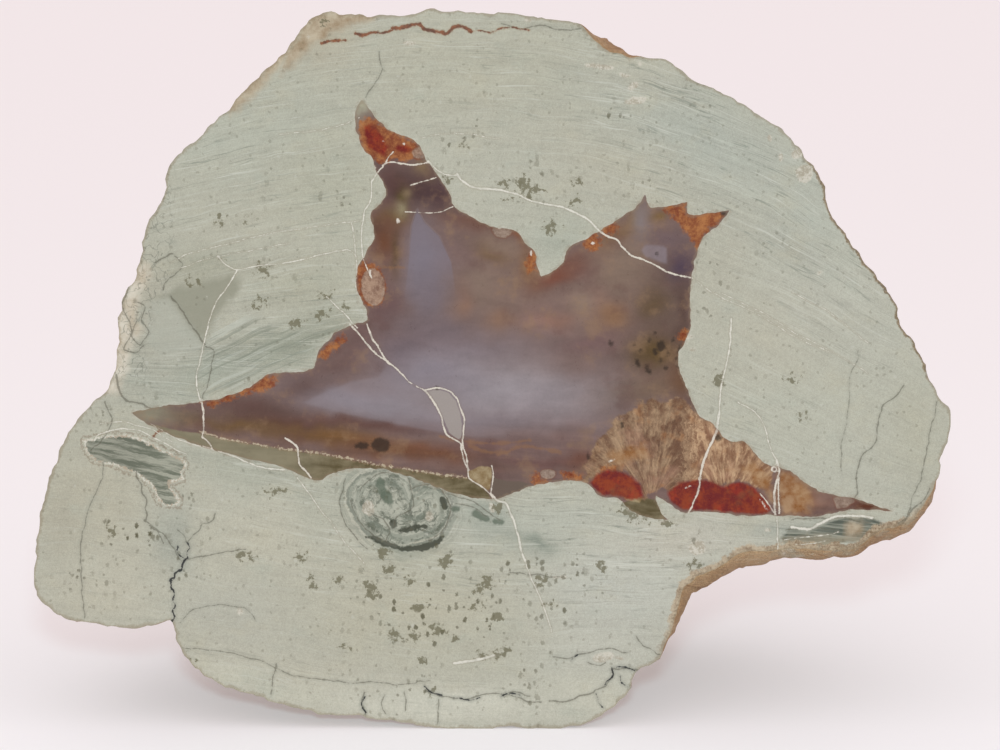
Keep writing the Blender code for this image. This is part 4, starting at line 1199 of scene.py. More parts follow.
class Finish:
    """A material under construction, with its places in millimetres in the face's frame.

    Its colour is laid on in layers. Tones are given as the 0 to 255 screen values they show as.
    """

    def __init__(self, name, **constants):
        self.material = bpy.data.materials.new(name)
        self.material.use_nodes = True
        self.tree = self.material.node_tree
        self.shader = self.tree.nodes["Principled BSDF"]
        for socket, value in constants.items():
            self.shader.inputs[socket.replace("_", " ")].default_value = value
        local = self.node("ShaderNodeTexCoord", output="Object")
        zero = np.array((BOX_MIDDLE_X, BOX_MIDDLE_Y, FOOT_TRIM))
        turned = (
            zero[0], zero[1] * math.cos(LEAN) - zero[2] * math.sin(LEAN),
            zero[1] * math.sin(LEAN) + zero[2] * math.cos(LEAN),
        )
        self.place = self.node("ShaderNodeMapping", {"vector_type": "POINT"}, {
            "Vector": local, "Location": turned, "Rotation": (LEAN, 0.0, 0.0), "Scale": (1 / MM,) * 3,
        })
        parts = self.node("ShaderNodeSeparateXYZ", inputs={"Vector": self.place}, output=None)
        self.x, self.d, self.h = (Wire(self, socket) for socket in parts.outputs)
        self.colour = None

    def node(self, kind, settings=None, inputs=None, output=0):
        """Adds a node, with its settings first, then its inputs' values or links."""
        made = self.tree.nodes.new(kind)
        for name, value in (settings or {}).items():
            setattr(made, name, value)
        for name, value in (inputs or {}).items():
            self.feed(made.inputs[name], value)
        return made if output is None else Wire(self, made.outputs[output])

    def feed(self, socket, value):
        if isinstance(value, Wire):
            self.tree.links.new(value.socket, socket)
        else:
            socket.default_value = value

    def maths(self, operation, *values):
        return self.node("ShaderNodeMath", {"operation": operation}, dict(enumerate(values)))

    def kept(self, name, output="Fac"):
        """A number, or a colour, that the mesh keeps at its corners."""
        return self.node("ShaderNodeAttribute", {"attribute_name": name}, output=output)

    def at(self, x, y, z=0.0):
        return self.node("ShaderNodeCombineXYZ", inputs={"X": x, "Y": y, "Z": z})

    def moved(self, place, seed, *shift):
        """A place moved by a seed's own shift, so that patterns with unlike seeds don't match."""
        shift = tuple(seed * part for part in shift)
        place = self.place if place is None else place
        return self.node("ShaderNodeVectorMath", {"operation": "ADD"}, {0: place, 1: shift})

    def noise(self, size, seed=0.0, detail=2.0, rough=0.5, swirl=0.0, place=None):
        """Cloudy noise about 0, mostly from -1 to 1, with grains of a size in millimetres."""
        cloud = self.node("ShaderNodeTexNoise", {"noise_dimensions": "3D"}, {
            "Vector": self.moved(place, seed, 17.3, 9.1, 5.7), "Scale": 1.0 / size,
            "Detail": detail, "Roughness": rough, "Distortion": swirl,
        }, output="Fac")
        return (cloud - 0.5) * 3.2

    def ragged(self, name, height, size, seed, detail=2.0, rough=0.5):
        """A number that the mesh keeps, with noise of a height on it."""
        return self.kept(name) + height * self.noise(size, seed, detail, rough)

    def cells(self, size, seed, place, output):
        settings = {"voronoi_dimensions": "3D", "feature": "F1"}
        return self.node("ShaderNodeTexVoronoi", settings, {
            "Vector": self.moved(place, seed, 13.1, 7.7, 3.3), "Scale": 1.0 / size,
            "Randomness": 1.0,
        }, output=output)

    def specks(self, size, seed, reach, share, stretch=1.0):
        """Scattered grains: in a share of a cell pattern's cells, a ragged grain each."""
        place = self.at(self.x * stretch, self.h, self.x * 0.31 + self.h * 0.17)
        away = self.cells(size, seed, place, "Distance") + 0.16 * self.noise(0.34, 7.0, 3.0, 0.75)
        chosen = self.cells(size, seed, place, "Color")
        lottery = self.node("ShaderNodeSeparateColor", inputs={"Color": chosen})
        return self.step(away, reach, reach * 0.6) * self.step(lottery, share, share * 0.9)

    def step(self, value, low, high):
        """0 below low, 1 above high, and smooth in between; low may be the higher one."""
        return self.node("ShaderNodeMapRange", {"interpolation_type": "SMOOTHSTEP"}, {
            "Value": value, "From Min": low, "From Max": high, "To Min": 0.0, "To Max": 1.0,
        })

    def mask(self, name, rough, size, soft, seed=0.0):
        """1 inside a field's outlines or lines, with noise on its edges, and 0 outside them."""
        return self.step(self.ragged(name, rough, size, seed, 3.0), -soft, soft)

    def laid(self, x_rate, band_rate, seed, detail=4.0, rough=0.65, swirl=0.0):
        """Noise drawn out along the flow bands."""
        place = self.at(self.x * x_rate, self.kept("band") * band_rate, seed)
        return self.noise(1.0, seed, detail, rough, swirl, place)

    def ridge(self, value, reach):
        """Thin lines where a noise passes 0."""
        return self.step(abs(value), reach, reach * 0.2)

    def mix(self, share, first, second):
        """The first colour, going over to the second by a share; each a wire or a tone."""
        first, second = (
            colour if isinstance(colour, Wire) else tone(*colour) for colour in (first, second)
        )
        settings = {"data_type": "RGBA", "blend_type": "MIX", "clamp_factor": True}
        return self.node("ShaderNodeMix", settings, {0: share, 6: first, 7: second}, output=2)

    def between(self, value, low, high, first, second):
        """The first colour where a value is at low, the second where it is at high."""
        return self.mix(self.step(value, low, high), first, second)

    def lay(self, share, colour):
        """Lays a colour over the colour so far by a share."""
        self.colour = self.mix(share, self.colour, colour)

    def lay_where(self, value, low, high, strength, colour):
        """Lays a colour over the colour so far where a value passes from low to high."""
        self.lay(self.step(value, low, high) * strength, colour)

    def shaded(self, colour, value):
        """A colour times a brightness."""
        return self.node("ShaderNodeVectorMath", {"operation": "SCALE"}, {0: colour, "Scale": value})

    def shade(self, value):
        self.colour = self.shaded(self.colour, value)

    def bumped(self, height, distance):
        return self.node("ShaderNodeBump", inputs={
            "Height": height, "Distance": distance * MM, "Strength": 1.0,
        })

    def finished(self, **links):
        for socket, value in links.items():
            self.feed(self.shader.inputs[socket.replace("_", " ")], value)
        return self.material


def rock_face():
    """The sawn rock: flow bands, soft clouds of tone, specks, blots, veins and cracks."""
    made = Finish("banded_rhyolite", IOR=1.5, Specular_IOR_Level=LOW_GLOSS)
    mottle = made.noise(2.4, 6.0, 5.0, 0.68)
    grain = made.noise(0.34, 7.0, 3.0, 0.75)
    made.colour = made.kept("tint", "Color")
    banded(made, mottle, grain)
    green_swirl(made)
    blue_lens(made, mottle)
    rind_along_edge(made, mottle, grain)
    eye_of_layers(made, mottle, grain)
    flecked(made, mottle, grain)
    layered_pocket(made, mottle, grain)
    opened = cracked(made, mottle, grain)
    veined(made, grain, (228, 222, 210), (152, 142, 122))
    edge = made.ragged("border", 0.5, 1.0, 23.0, 4.0)
    edge_tone = made.between(mottle, -0.3, 0.3, (150, 130, 108), (206, 200, 186))
    made.lay_where(edge, -0.5, -0.1, 0.3, edge_tone)

    gloss = 0.52 + 0.05 * mottle + 0.05 * grain
    bump = made.bumped(grain * 0.6 - opened * 1.6, 0.02)
    return made.finished(Base_Color=made.colour, Roughness=gloss, Normal=bump)


def banded(made, mottle, grain):
    """Warmer and cooler patches, and the flow bands: broad tints, laminae, pale and dark lines."""
    laminated = made.kept("laminated")
    broad = made.laid(0.018, 0.22, 1.0)
    thin = made.laid(0.09, 1.0, 2.0, 5.0, 0.72)
    wavy = made.laid(0.16, 2.6, 3.0, 3.0, 0.6, 0.25)
    dust = made.noise(0.16, 8.0, 1.0)
    patches = made.noise(8.0, 48.0, 4.0, 0.65, place=made.at(made.x, made.h * 1.5))
    made.lay_where(patches, 0.0, 0.9, 0.4, (190, 183, 162))
    made.lay_where(patches, -0.1, -0.9, 0.4, (175, 178, 165))
    light = 1.035 + 0.07 * mottle + 0.15 * grain + 0.13 * dust
    light = light + (0.3 + 0.7 * laminated) * (0.07 * broad + 0.22 * thin * wavy + 0.12 * thin)
    made.shade(light)
    cool = made.step(thin * 0.5 + broad * 0.9 + 0.3 * mottle, -0.2, 1.0) * (0.25 + 0.5 * laminated)
    made.lay(cool * 0.25, (172, 175, 164))
    pale = made.ridge(made.laid(0.035, 1.3, 9.0, 3.0, 0.5), 0.08)
    pale = pale * made.step(made.laid(0.07, 0.5, 10.0), -0.4, 0.5)
    made.lay(pale * 0.6 * laminated, (212, 210, 198))
    dark = made.ridge(made.laid(0.06, 1.2, 11.0, 4.0, 0.5), 0.08)
    dark = dark * made.step(made.laid(0.12, 0.6, 12.0), -0.2, 0.5)
    made.lay(dark * 0.5 * laminated, (126, 132, 121))


def green_swirl(made):
    """The greyed panel at the left and the curved green layers below it."""
    panel = made.mask("panel", 0.8, 3.0, 0.8)
    made.lay(panel * 0.8, (151, 149, 132))
    made.lay(made.mask("panel_side", 0.3, 3.0, 0.5, 1.0) * 0.5, (176, 176, 163))
    swirl = made.mask("swirl", 0.8, 3.5, 1.2)
    run = made.x + 43.0
    arc = made.h - 0.55 * run + 0.006 * run * run + 0.4 * made.noise(6.0, 40.0)
    swirl_place = made.at(arc * 1.4, made.x * 0.05, 1.0)
    swirl_lines = made.step(made.noise(1.0, 13.0, 4.0, 0.7, place=swirl_place), 0.0, 0.3)
    made.lay(swirl * swirl_lines * 0.55, (196, 197, 185))
    swirl_dark = made.step(made.noise(1.0, 14.0, 4.0, 0.7, place=swirl_place), 0.02, 0.35)
    made.lay(swirl * swirl_dark * 0.5, (128, 132, 118))


def blue_lens(made, mottle):
    """The dark lens under the right tip, browner towards the edge."""
    blue = made.mask("blue", 0.4, 1.5, 0.3)
    blue_tone = made.between(made.laid(0.1, 1.6, 15.0), -0.2, 0.5, (84, 90, 82), (156, 156, 142))
    browned = made.step(made.h + 0.8 * mottle, 29.6, 28.4) * 0.7
    blue_tone = made.mix(browned, blue_tone, (160, 148, 126))
    made.lay(blue * 0.92, blue_tone)


def rind_along_edge(made, mottle, grain):
    """Tan rind, worm lines at the left, and skin that frays over the sawn edge at the right."""
    rind_tone = made.between(mottle, -0.6, 0.6, (158, 134, 106), (200, 184, 160))
    pale_rind = made.between(mottle, -0.6, 0.6, (196, 180, 158), (224, 214, 198))
    rind_tone = made.between(made.x, -38.0, -48.0, rind_tone, pale_rind)
    rind = made.ragged("rind", 0.9, 2.6, 55.0, 4.0, 0.6)
    made.lay_where(rind, -0.9, 0.8, 0.85, rind_tone)
    worms = made.ridge(made.noise(1.7, 50.0, 2.0, 0.5, 0.4), 0.07)
    worms = worms * made.step(made.kept("rim"), 6.0, 3.5) * made.step(made.x, -46.0, -49.0)
    made.lay(worms * made.step(made.h, 50.0, 54.0) * 0.5, (110, 112, 102))
    bitten = made.step(made.ragged("rim", 0.55, 1.3, 51.0, 4.0, 0.7), 0.45, 0.2)
    bitten = bitten * made.step(made.x, 45.0, 50.0) * made.step(made.h, 50.0, 55.0)
    bite_tone = made.between(grain, -0.4, 0.4, (92, 74, 58), (160, 138, 112))
    made.lay(bitten * 0.85, bite_tone)
    under = made.step(made.h, 35.0, 31.0) * made.step(made.x, 24.0, 28.0)
    frayed = made.step(made.ragged("rim", 0.9, 1.7, 56.0, 4.0, 0.7), 1.1, 0.7)
    frayed_tone = made.between(mottle + grain, -0.7, 0.6, (136, 110, 86), (196, 176, 150))
    made.lay(frayed * under * 0.85, frayed_tone)
    rim_field = made.kept("rim") + 0.5 * mottle + 0.2 * grain
    made.lay_where(rim_field, 0.55, 0.1, 0.45, (150, 134, 110))


def eye_of_layers(made, mottle, grain):
    """The concretion below the agate: two nested ovals of dark and pale layers, and a halo."""
    eye = made.ragged("eye", 0.5, 2.6, 9.0, 3.0)
    right_eye = made.ragged("eye_right", 0.3, 1.8, 16.0, 3.0)
    nested = made.maths("MAXIMUM", right_eye + 1.0, abs(eye * 0.8 + right_eye * 0.1))
    churned = 1.1 * made.noise(2.2, 41.0, 4.0, 0.6, 0.6)
    layer_place = made.at(nested * 0.8 + churned, made.x * 0.28, made.h * 0.28)
    layers = made.noise(1.0, 17.0, 5.0, 0.75, place=layer_place)
    eye_tone = made.between(layers, -0.35, 0.2, (98, 103, 91), (182, 181, 166))
    inside = made.step(made.maths("MAXIMUM", eye, right_eye), -0.15, 0.3)
    made.lay(inside * 0.9, eye_tone)
    lobe_edge = abs(right_eye + 0.3 * mottle) + 0.3 * grain
    made.lay(made.step(lobe_edge, 0.3, 0.1) * inside * 0.7, (84, 88, 78))
    eye_rim = abs(eye + 0.4 + 0.3 * mottle) + 0.3 * grain
    made.lay_where(eye_rim, 0.3, 0.1, 0.55, (96, 101, 92))
    around = made.at(eye * 1.1, made.x * 0.05, made.h * 0.05)
    around = made.step(made.noise(1.0, 42.0, 4.0, 0.7, place=around), 0.15, -0.3)
    halo = made.step(eye, -3.4, -0.5) * around
    made.lay(halo * 0.55, (134, 139, 126))
    made.lay(made.mask("eye_green", 0.35, 0.8, 0.2) * 0.8, (100, 110, 96))
    made.lay(made.mask("eye_dark", 0.3, 0.7, 0.12) * 0.9, (76, 78, 68))


def flecked(made, mottle, grain):
    """Chalky patches, specks that crowd in places, and the larger blots."""
    chalk = made.step(made.ragged("chalk", 0.35, 1.3, 43.0, 4.0), -0.1, 0.2)
    chalk_tone = made.between(mottle + grain, -0.5, 0.4, (176, 166, 148), (218, 210, 196))
    made.lay(chalk * 0.8, chalk_tone)

    crowd = made.step(made.noise(7.0, 18.0) + made.kept("crowd"), -0.3, 0.9)
    fine_crowd = 0.35 + 0.65 * crowd
    made.lay(made.specks(1.0, 11.0, 0.28, 0.3) * 0.75 * fine_crowd, (102, 98, 80))
    made.lay(made.specks(1.5, 12.0, 0.36, 0.5, 1.4) * 0.9 * crowd, (98, 94, 74))
    made.lay(made.specks(3.1, 19.0, 0.22, 0.45, 1.3) * 0.6 * crowd, (100, 96, 75))
    made.lay(made.specks(2.2, 13.0, 0.14, 0.2) * 0.35, (210, 207, 195))

    blot_edge = made.kept("blot") - 0.12 + 2.0 * made.noise(0.8, 14.0, 4.0, 0.7)
    made.lay_where(blot_edge, -0.3, 0.2, 0.3, (146, 141, 120))
    blot_heart = made.step(blot_edge + 0.3 * grain, 0.02, 0.22)
    made.lay(blot_heart * 0.72, (112, 107, 85))


def layered_pocket(made, mottle, grain):
    """The small dark pocket at the left: flat layers inside a pale and a brown rim."""
    side_pocket = made.ragged("side_pocket", 0.5, 0.8, 15.0, 4.0, 0.7)
    strata = made.h * 1.5 + made.x * 0.3 + 0.5 * mottle
    laminae = made.noise(1.0, 16.0, 5.0, 0.75, place=made.at(made.x * 0.14, strata, 4.0))
    pocket_tone = made.between(laminae, -0.3, 0.35, (106, 110, 97), (164, 163, 148))
    pocket_tone = made.shaded(pocket_tone, 0.93 + 0.15 * made.step(made.x, -55.0, -49.0))
    made.lay_where(side_pocket, -0.05, 0.1, 0.92, pocket_tone)
    rim_line = abs(side_pocket - 0.02) + 0.25 * grain
    rim_tone = made.between(mottle + grain, -0.3, 0.3, (184, 168, 148), (228, 222, 208))
    made.lay_where(rim_line, 0.24, 0.08, 0.85, rim_tone)
    outer_line = abs(side_pocket + 0.55) + 0.3 * grain
    made.lay_where(outer_line, 0.18, 0.06, 0.5, (140, 122, 102))


def cracked(made, mottle, grain):
    """Healed cracks, rust along the bands and open cracks; gives where the open ones are."""
    jagged = made.noise(0.7, 44.0, 4.0, 0.75)
    crack_field = made.kept("dark_line") + 0.02 + 0.16 * jagged
    made.lay_where(crack_field, -0.5, 0.0, 0.22, (150, 150, 138))
    made.lay_where(crack_field, -0.06, 0.05, 0.6, (102, 98, 84))
    open_field = made.kept("open_line") + 0.25 * jagged
    open_crack = made.step(open_field, -0.03, 0.06)
    made.lay_where(open_field, -0.5, 0.0, 0.3, (132, 134, 126))
    made.lay(open_crack * 0.92, (56, 58, 60))
    rust_field = made.ragged("rust_line", 0.3, 0.9, 22.0, 4.0, 0.75)
    rust_tone = made.between(grain + mottle, -0.6, 0.6, (96, 56, 42), (150, 88, 60))
    made.lay_where(rust_field, -0.3, 0.0, 0.35, (168, 146, 116))
    made.lay_where(rust_field, -0.1, 0.08, 0.85, rust_tone)
    return open_crack


def veined(made, grain, vein_tone, side_tone):
    """Healed hairlines: of uneven breadth, broken here and there, with a darker seam beside them."""
    course = made.kept("white_line") - 0.04 + 0.15 * made.noise(0.6, 45.0, 4.0, 0.75)
    made.lay_where(course, -0.3, 0.0, 0.28, side_tone)
    broken = made.step(made.noise(1.1, 24.0, 3.0) + 0.5 * grain, -0.5, 0.1) * 0.4 + 0.6
    made.lay(made.step(course, -0.05, 0.05) * broken * 0.95, vein_tone)


def weathered_skin(name):
    """The stone's natural outside: brown and grey crust with pale dust and flecks, and dark brown
    spots.
    """
    made = Finish(name, IOR=1.45)
    cloud = made.noise(14.0, 1.0, 5.0, 0.6)
    mottle = made.noise(3.0, 2.0, 5.0, 0.65)
    grain = made.noise(0.7, 3.0, 4.0, 0.7)
    height = made.h + made.x * BAND_TILT + 0.9 * made.noise(9.0, 4.0)
    along = made.at(made.x * 0.08, height * 1.6, made.d * 0.08)
    fine_bands = made.noise(1.0, 52.0, 4.0, 0.7, place=along)
    by_face = made.step(made.d, 15.0, 6.0) * 0.8 + 0.2
    made.colour = made.between(cloud + 0.5 * mottle, -0.6, 0.6, (150, 121, 92), (190, 165, 134))
    made.lay(by_face * 0.5, (198, 162, 124))
    fresh = made.noise(11.0, 60.0, 5.0, 0.65) + 0.4 * mottle
    made.lay_where(fresh, 0.05, 0.55, 0.7, (176, 171, 152))
    made.lay(made.step(fine_bands, 0.1, 0.5) * 0.4 * by_face, (198, 176, 148))
    made.lay(made.step(fine_bands, -0.15, -0.6) * 0.5 * by_face, (124, 96, 70))
    made.lay_where(mottle + 0.5 * grain, 0.3, 0.9, 0.7, (214, 202, 184))
    made.lay_where(mottle - 0.5 * cloud, -0.4, -1.0, 0.6, (106, 82, 62))
    rust = made.noise(8.0, 6.0, 5.0, 0.65)
    made.lay_where(rust + 0.3 * grain, 0.25, 0.8, 0.55, (172, 116, 74))
    flecks = made.step(made.noise(0.9, 53.0, 4.0, 0.7) + 0.3 * mottle, 0.75, 1.1)
    made.lay(flecks * (0.5 + 0.3 * by_face), (230, 218, 206))
    # Dark brown spots, laid at random; the relief has no hollows under them.
    dark_spots = made.step(made.noise(1.9, 61.0, 5.0, 0.7) - 0.3 * mottle, 0.5, 0.9)
    made.lay(dark_spots * 0.6, (92, 74, 58))
    # Near the sawn edge the skin is also made lighter all round. This is painted light: it lifts the
    # shade on the strip of skin that faces down under the right wing.
    made.shade(1.12 + 0.1 * by_face + 0.22 * grain + 0.1 * mottle)
    relief = mottle * 0.5 + grain * 0.35 + 0.3 * fine_bands * by_face
    relief = relief + 0.4 * made.noise(0.25, 7.0, 2.0)
    return made.finished(
        Base_Color=made.colour, Roughness=0.82 + 0.05 * grain, Normal=made.bumped(relief, 0.45)
    )


def agate_face():
    """Polished chalcedony: lilac in its heart, brown to olive around it, and red carnelian tips."""
    made = Finish("star_agate", IOR=1.54, Specular_IOR_Level=LOW_GLOSS)
    cloud = made.noise(5.0, 1.0, 4.0, 0.6)
    mottle = made.noise(1.6, 2.0, 5.0, 0.68)
    grain = made.noise(0.42, 3.0, 3.0, 0.75)
    wisp = made.noise(3.0, 4.0, 4.0, 0.5, 0.8, place=made.at(made.x * 0.45, made.h * 1.6))

    made.colour = made.kept("tint", "Color")
    lilac_heart(made, cloud, mottle, grain, wisp)
    olive_layer(made, mottle, wisp)
    plume_fans(made, mottle, grain)
    fiery_tips(made, mottle, grain, wisp)
    small_bodies(made, cloud, mottle, grain)
    fine_lines(made, mottle, grain)

    gloss = 0.3 + 0.05 * mottle
    return made.finished(Base_Color=made.colour, Roughness=gloss, Normal=made.bumped(grain, 0.01))


def lilac_heart(made, cloud, mottle, grain, wisp):
    """Warm and dark clouds around the lilac, flat layers below, and the lilac's crisp edges."""
    outside_lilac = made.step(made.kept("lilac") + 0.8 * cloud, 0.6, -1.2)
    warm = made.step(cloud + 0.5 * mottle, 0.05, 0.7)
    made.lay(warm * outside_lilac * 0.4, (144, 116, 92))
    umber = made.step(cloud - 0.4 * wisp, -0.05, -0.7)
    made.lay(umber * outside_lilac * 0.35, (104, 78, 74))
    made.shade(1.02 + 0.1 * cloud + 0.12 * wisp + 0.07 * mottle + 0.07 * grain)
    height = made.h * 0.9 + 0.05 * made.x + 0.4 * wisp
    layers = made.noise(1.0, 13.0, 4.0, place=made.at(made.x * 0.03, height))
    low = made.step(made.h, 50.0, 42.0)
    made.shade(1.0 + low * layers * 0.2)

    spike = made.kept("spike")
    spike_top = made.step(made.h + 2.0 * cloud, 63.0, 73.0)
    made.lay(made.step(spike, -0.05, 0.3) * spike_top * 0.6, (132, 124, 134))
    spike_edge = abs(spike + 0.03 * grain)
    edge_share = made.step(spike_edge, 0.12, 0.02) * made.step(made.h, 71.0, 75.0)
    made.lay(edge_share * 0.15, (164, 152, 152))
    lilac_edge = made.kept("lilac") + 0.05 * wisp
    facet = made.step(made.x, 6.0, -8.0) * made.step(made.h, 56.0, 52.0)
    facet = made.step(lilac_edge, -0.1, 0.5) * facet
    made.lay(facet * 0.35, (148, 138, 143))


def olive_layer(made, mottle, wisp):
    """The olive band along the lower left."""
    band_edge = made.mask("olive_band", 0.15, 1.4, 0.12)
    olive_tone = made.between(wisp + 0.5 * mottle, -0.9, 0.9, (89, 80, 55), (142, 131, 105))
    left_pale = made.step(made.x, -22.0, -34.0)
    olive_tone = made.mix(left_pale * 0.6, olive_tone, (148, 142, 120))
    made.lay(band_edge * 0.92, olive_tone)


def plume_fans(made, mottle, grain):
    """The plume: hairs that fan out from two places, with pink and orange tufts."""
    fan_left = made.maths("ARCTAN2", made.h - 34.0, made.x - 24.0)
    fan_right = made.maths("ARCTAN2", made.h - 33.0, made.x - 35.5)
    side = made.step(made.x + 0.8 * mottle, 28.0, 32.0)
    fan = fan_left * (1.0 - side) + fan_right * side
    fan_place = made.at(fan * 11.0 + 0.5 * mottle, made.h * 0.28, made.x * 0.1)
    fibres = made.noise(1.0, 5.0, 5.0, 0.75, place=fan_place)
    hairs = made.noise(1.0, 25.0, 3.0, 0.7, place=made.at(fan * 40.0 + 0.5 * mottle, made.h * 0.5))
    plume = made.mask("plume", 1.0, 1.4, 0.35)
    plume_tone = made.between(fibres + 0.5 * mottle, -0.5, 0.6, (124, 92, 72), (190, 158, 126))
    pink = made.step(made.noise(3.5, 54.0, 3.0), 0.1, 0.8)
    plume_tone = made.mix(pink * 0.5, plume_tone, (180, 138, 116))
    plume_tone = made.shaded(plume_tone, 0.83 + 0.42 * side + 0.24 * hairs + 0.2 * grain)
    tufts = made.step(made.noise(2.2, 6.0, 4.0) + 0.3 * fibres, 0.15, 1.0)
    plume_tone = made.mix(tufts * 0.6, plume_tone, (170, 114, 70))
    dusk = made.step(made.noise(2.6, 26.0, 4.0), 0.35, 1.1)
    plume_tone = made.mix(dusk * 0.5, plume_tone, (112, 92, 88))
    made.lay(plume * 0.9, plume_tone)
    made.lay(made.mask("smoky", 0.2, 1.0, 0.15) * 0.85, (110, 98, 88))
    made.lay(made.mask("loop", 0.1, 1.0, 0.1) * 0.8, (168, 158, 151))
    straw_tone = made.between(mottle, -0.5, 0.5, (136, 112, 78), (174, 156, 124))
    made.lay(made.mask("straw", 0.15, 1.0, 0.12) * 0.9, straw_tone)


def fiery_tips(made, mottle, grain, wisp):
    """Orange and red carnelian, and honey-coloured fill at the right."""
    orange = made.ragged("orange", 1.1, 1.2, 7.0, 5.0, 0.75)
    orange_tone = made.between(mottle + 0.6 * grain, -0.7, 0.8, (128, 68, 42), (184, 124, 78))
    made.lay_where(orange, -0.5, 0.3, 0.9, orange_tone)
    red = made.ragged("red", 0.3, 1.3, 8.0, 5.0, 0.7)
    red_tone = made.between(mottle + 0.4 * grain, -0.4, 0.5, (116, 46, 32), (148, 70, 46))
    blaze = made.step(made.noise(1.8, 27.0, 3.0) + 0.3 * grain, 0.05, 0.6)
    red_tone = made.mix(blaze * 0.45, red_tone, (162, 60, 36))
    smoke = made.step(made.noise(2.6, 46.0, 3.0), 0.15, 0.7)
    red_tone = made.mix(smoke * 0.45, red_tone, (130, 88, 64))
    made.lay_where(red, -0.35, 0.3, 0.95, red_tone)
    honey_tone = made.between(mottle + 0.5 * wisp, -0.6, 0.6, (150, 102, 62), (182, 148, 114))
    made.lay(made.mask("honey", 0.8, 1.6, 0.8) * 0.8, honey_tone)


def small_bodies(made, cloud, mottle, grain):
    """Pebbles, the clear pane, ink spots and fine dark specks."""
    pebble = made.ragged("pebble", 0.15, 0.7, 9.0, 3.0)
    pebble_tone = made.between(mottle + grain, -0.8, 0.8, (134, 112, 98), (178, 158, 142))
    made.lay_where(pebble, -0.1, 0.12, 0.7, pebble_tone)
    ring = abs(pebble + 0.05)
    made.lay_where(ring, 0.16, 0.04, 0.25, (124, 76, 56))
    pane = made.kept("pane") + 0.2 * mottle
    made.lay(made.step(pane, -0.15, 0.5) * (0.5 + 0.3 * cloud), (146, 135, 143))
    ink = made.ragged("ink", 0.3, 0.6, 10.0, 4.0, 0.7)
    made.lay_where(ink, -0.3, 0.2, 0.8, (60, 54, 50))
    murk = made.specks(0.8, 28.0, 0.22, 0.3) * made.step(made.noise(4.0, 29.0), 0.0, 0.9)
    made.lay(murk * 0.3, (76, 56, 44))


def fine_lines(made, mottle, grain):
    """Gold lines, the beaded border, white veins, glints and the bright rim."""
    gold = made.step(made.kept("gold_line") + 0.5 * mottle, -0.3, 0.1)
    made.lay(gold * 0.4, (150, 110, 76))
    bead_field = made.kept("bead_line") - 0.19 + 0.5 * made.noise(0.6, 47.0, 3.0, 0.7)
    made.lay_where(bead_field, -0.25, 0.0, 0.3, (150, 120, 92))
    beads = made.step(bead_field, -0.02, 0.12) * (0.75 + 0.5 * grain)
    made.lay(beads * 0.85, (206, 192, 166))
    veined(made, grain, (226, 216, 202), (116, 94, 84))
    glint = made.step(made.kept("glint") + 0.14 * grain, -0.08, 0.08)
    made.lay(glint * 0.9, (226, 216, 204))
    border = made.ragged("border", 0.4, 0.8, 12.0, 3.0)
    made.lay_where(border, 0.4, 0.0, 0.4, (148, 128, 108))


def plain_paper():
    """The pale floor, with a very slight paper grain."""
    made = Finish("plain_paper", Roughness=0.95)
    speck = made.noise(1.2, 1.0, 3.0)
    return made.finished(
        Base_Color=made.shaded(FLOOR_COLOUR, 1.0 + 0.004 * speck),
        Emission_Color=(*FLOOR_GLOW, 1.0), Emission_Strength=1.0,
    )


FLOOR_COLOUR = (0.57, 0.565, 0.575)
FLOOR_GLOW = (0.304, 0.277, 0.277)  # light from below, as on a light table, keeps the shadows soft
ZENITH_COLOUR = (1.16, 1.04, 1.045)
HORIZON_COLOUR = (0.64, 0.55, 0.55)
KEY_COLOUR = (0.62, 0.95, 1.0)
KEY_PLACE = (0.0, -0.56, 0.225)
KEY_TARGET = (0.0, 0.0, 0.05)
KEY_SIZE = 0.05
KEY_POWER = 2.0

host_loops = flat_front_loops("host_rock")
foot_line = FOOT_TRIM / math.cos(LEAN)
smooth_edge = curve_through(host_loops[0], OUTLINE_SPACING, closed=True)
edge_out = outline_normals(smooth_edge)
sawn_edge = chipped(smooth_edge, CHIP_SIZE, CHIP_DEPTH, 1)
sawn_edge[:, 1] = np.maximum(sawn_edge[:, 1], foot_line)
smooth_border = curve_through(flat_front_loops("agate_core")[0], AGATE_SPACING, closed=True)
border_out = outline_normals(smooth_border)
border = chipped(smooth_border, AGATE_CHIP_SIZE, AGATE_CHIP_DEPTH, 3)

ROCK_ZONES = {
    "panel": SHADED_PANEL, "panel_side": PANEL_SIDE, "swirl": SWIRLED_GREEN, "blot": BLOTS,
    "chalk": CHALK, "rind": TAN_RIND, "eye": EYE, "eye_right": EYE_RIGHT,
    "eye_dark": EYE_DARK, "eye_green": EYE_GREEN, "side_pocket": SIDE_POCKET,
    "blue": BLUE_LOWER_RIGHT,
}
FINE_ROCK = BLOTS + CHALK + SIDE_POCKET + EYE + EYE_DARK + EYE_GREEN + TAN_RIND
AGATE_ZONES = {
    "lilac": LILAC, "spike": SPIKE, "red": CARNELIAN, "orange": ORANGE, "pebble": PEBBLES,
    "plume": PLUME, "olive_band": OLIVE_BAND, "smoky": SMOKY_WEDGE, "ink": INK_SPOTS,
    "glint": GLINTS, "honey": HONEY, "pane": PANE, "loop": LOOP,
    "straw": STRAW,
}


def kept_fields(points, zones, lines, reach):
    """Distances that a material needs at each corner of the flat face: patches, lines, border."""
    fields = {name: zone_field(points, outlines, reach) for name, outlines in zones.items()}
    fields.update({name: stroke_field(points, strokes) for name, strokes in lines.items()})
    fields["border"] = signed_distance(points, border)
    return fields


def flat_front(outer, holes, lines, spacing, fine):
    """The flat front's corners, triangles and outlines, cut along all the lines drawn on it."""
    strokes = [stroke for group in lines.values() for stroke in group]
    return triangulated(outer, holes, strokes, face_lattice(outer, holes, spacing, fine))


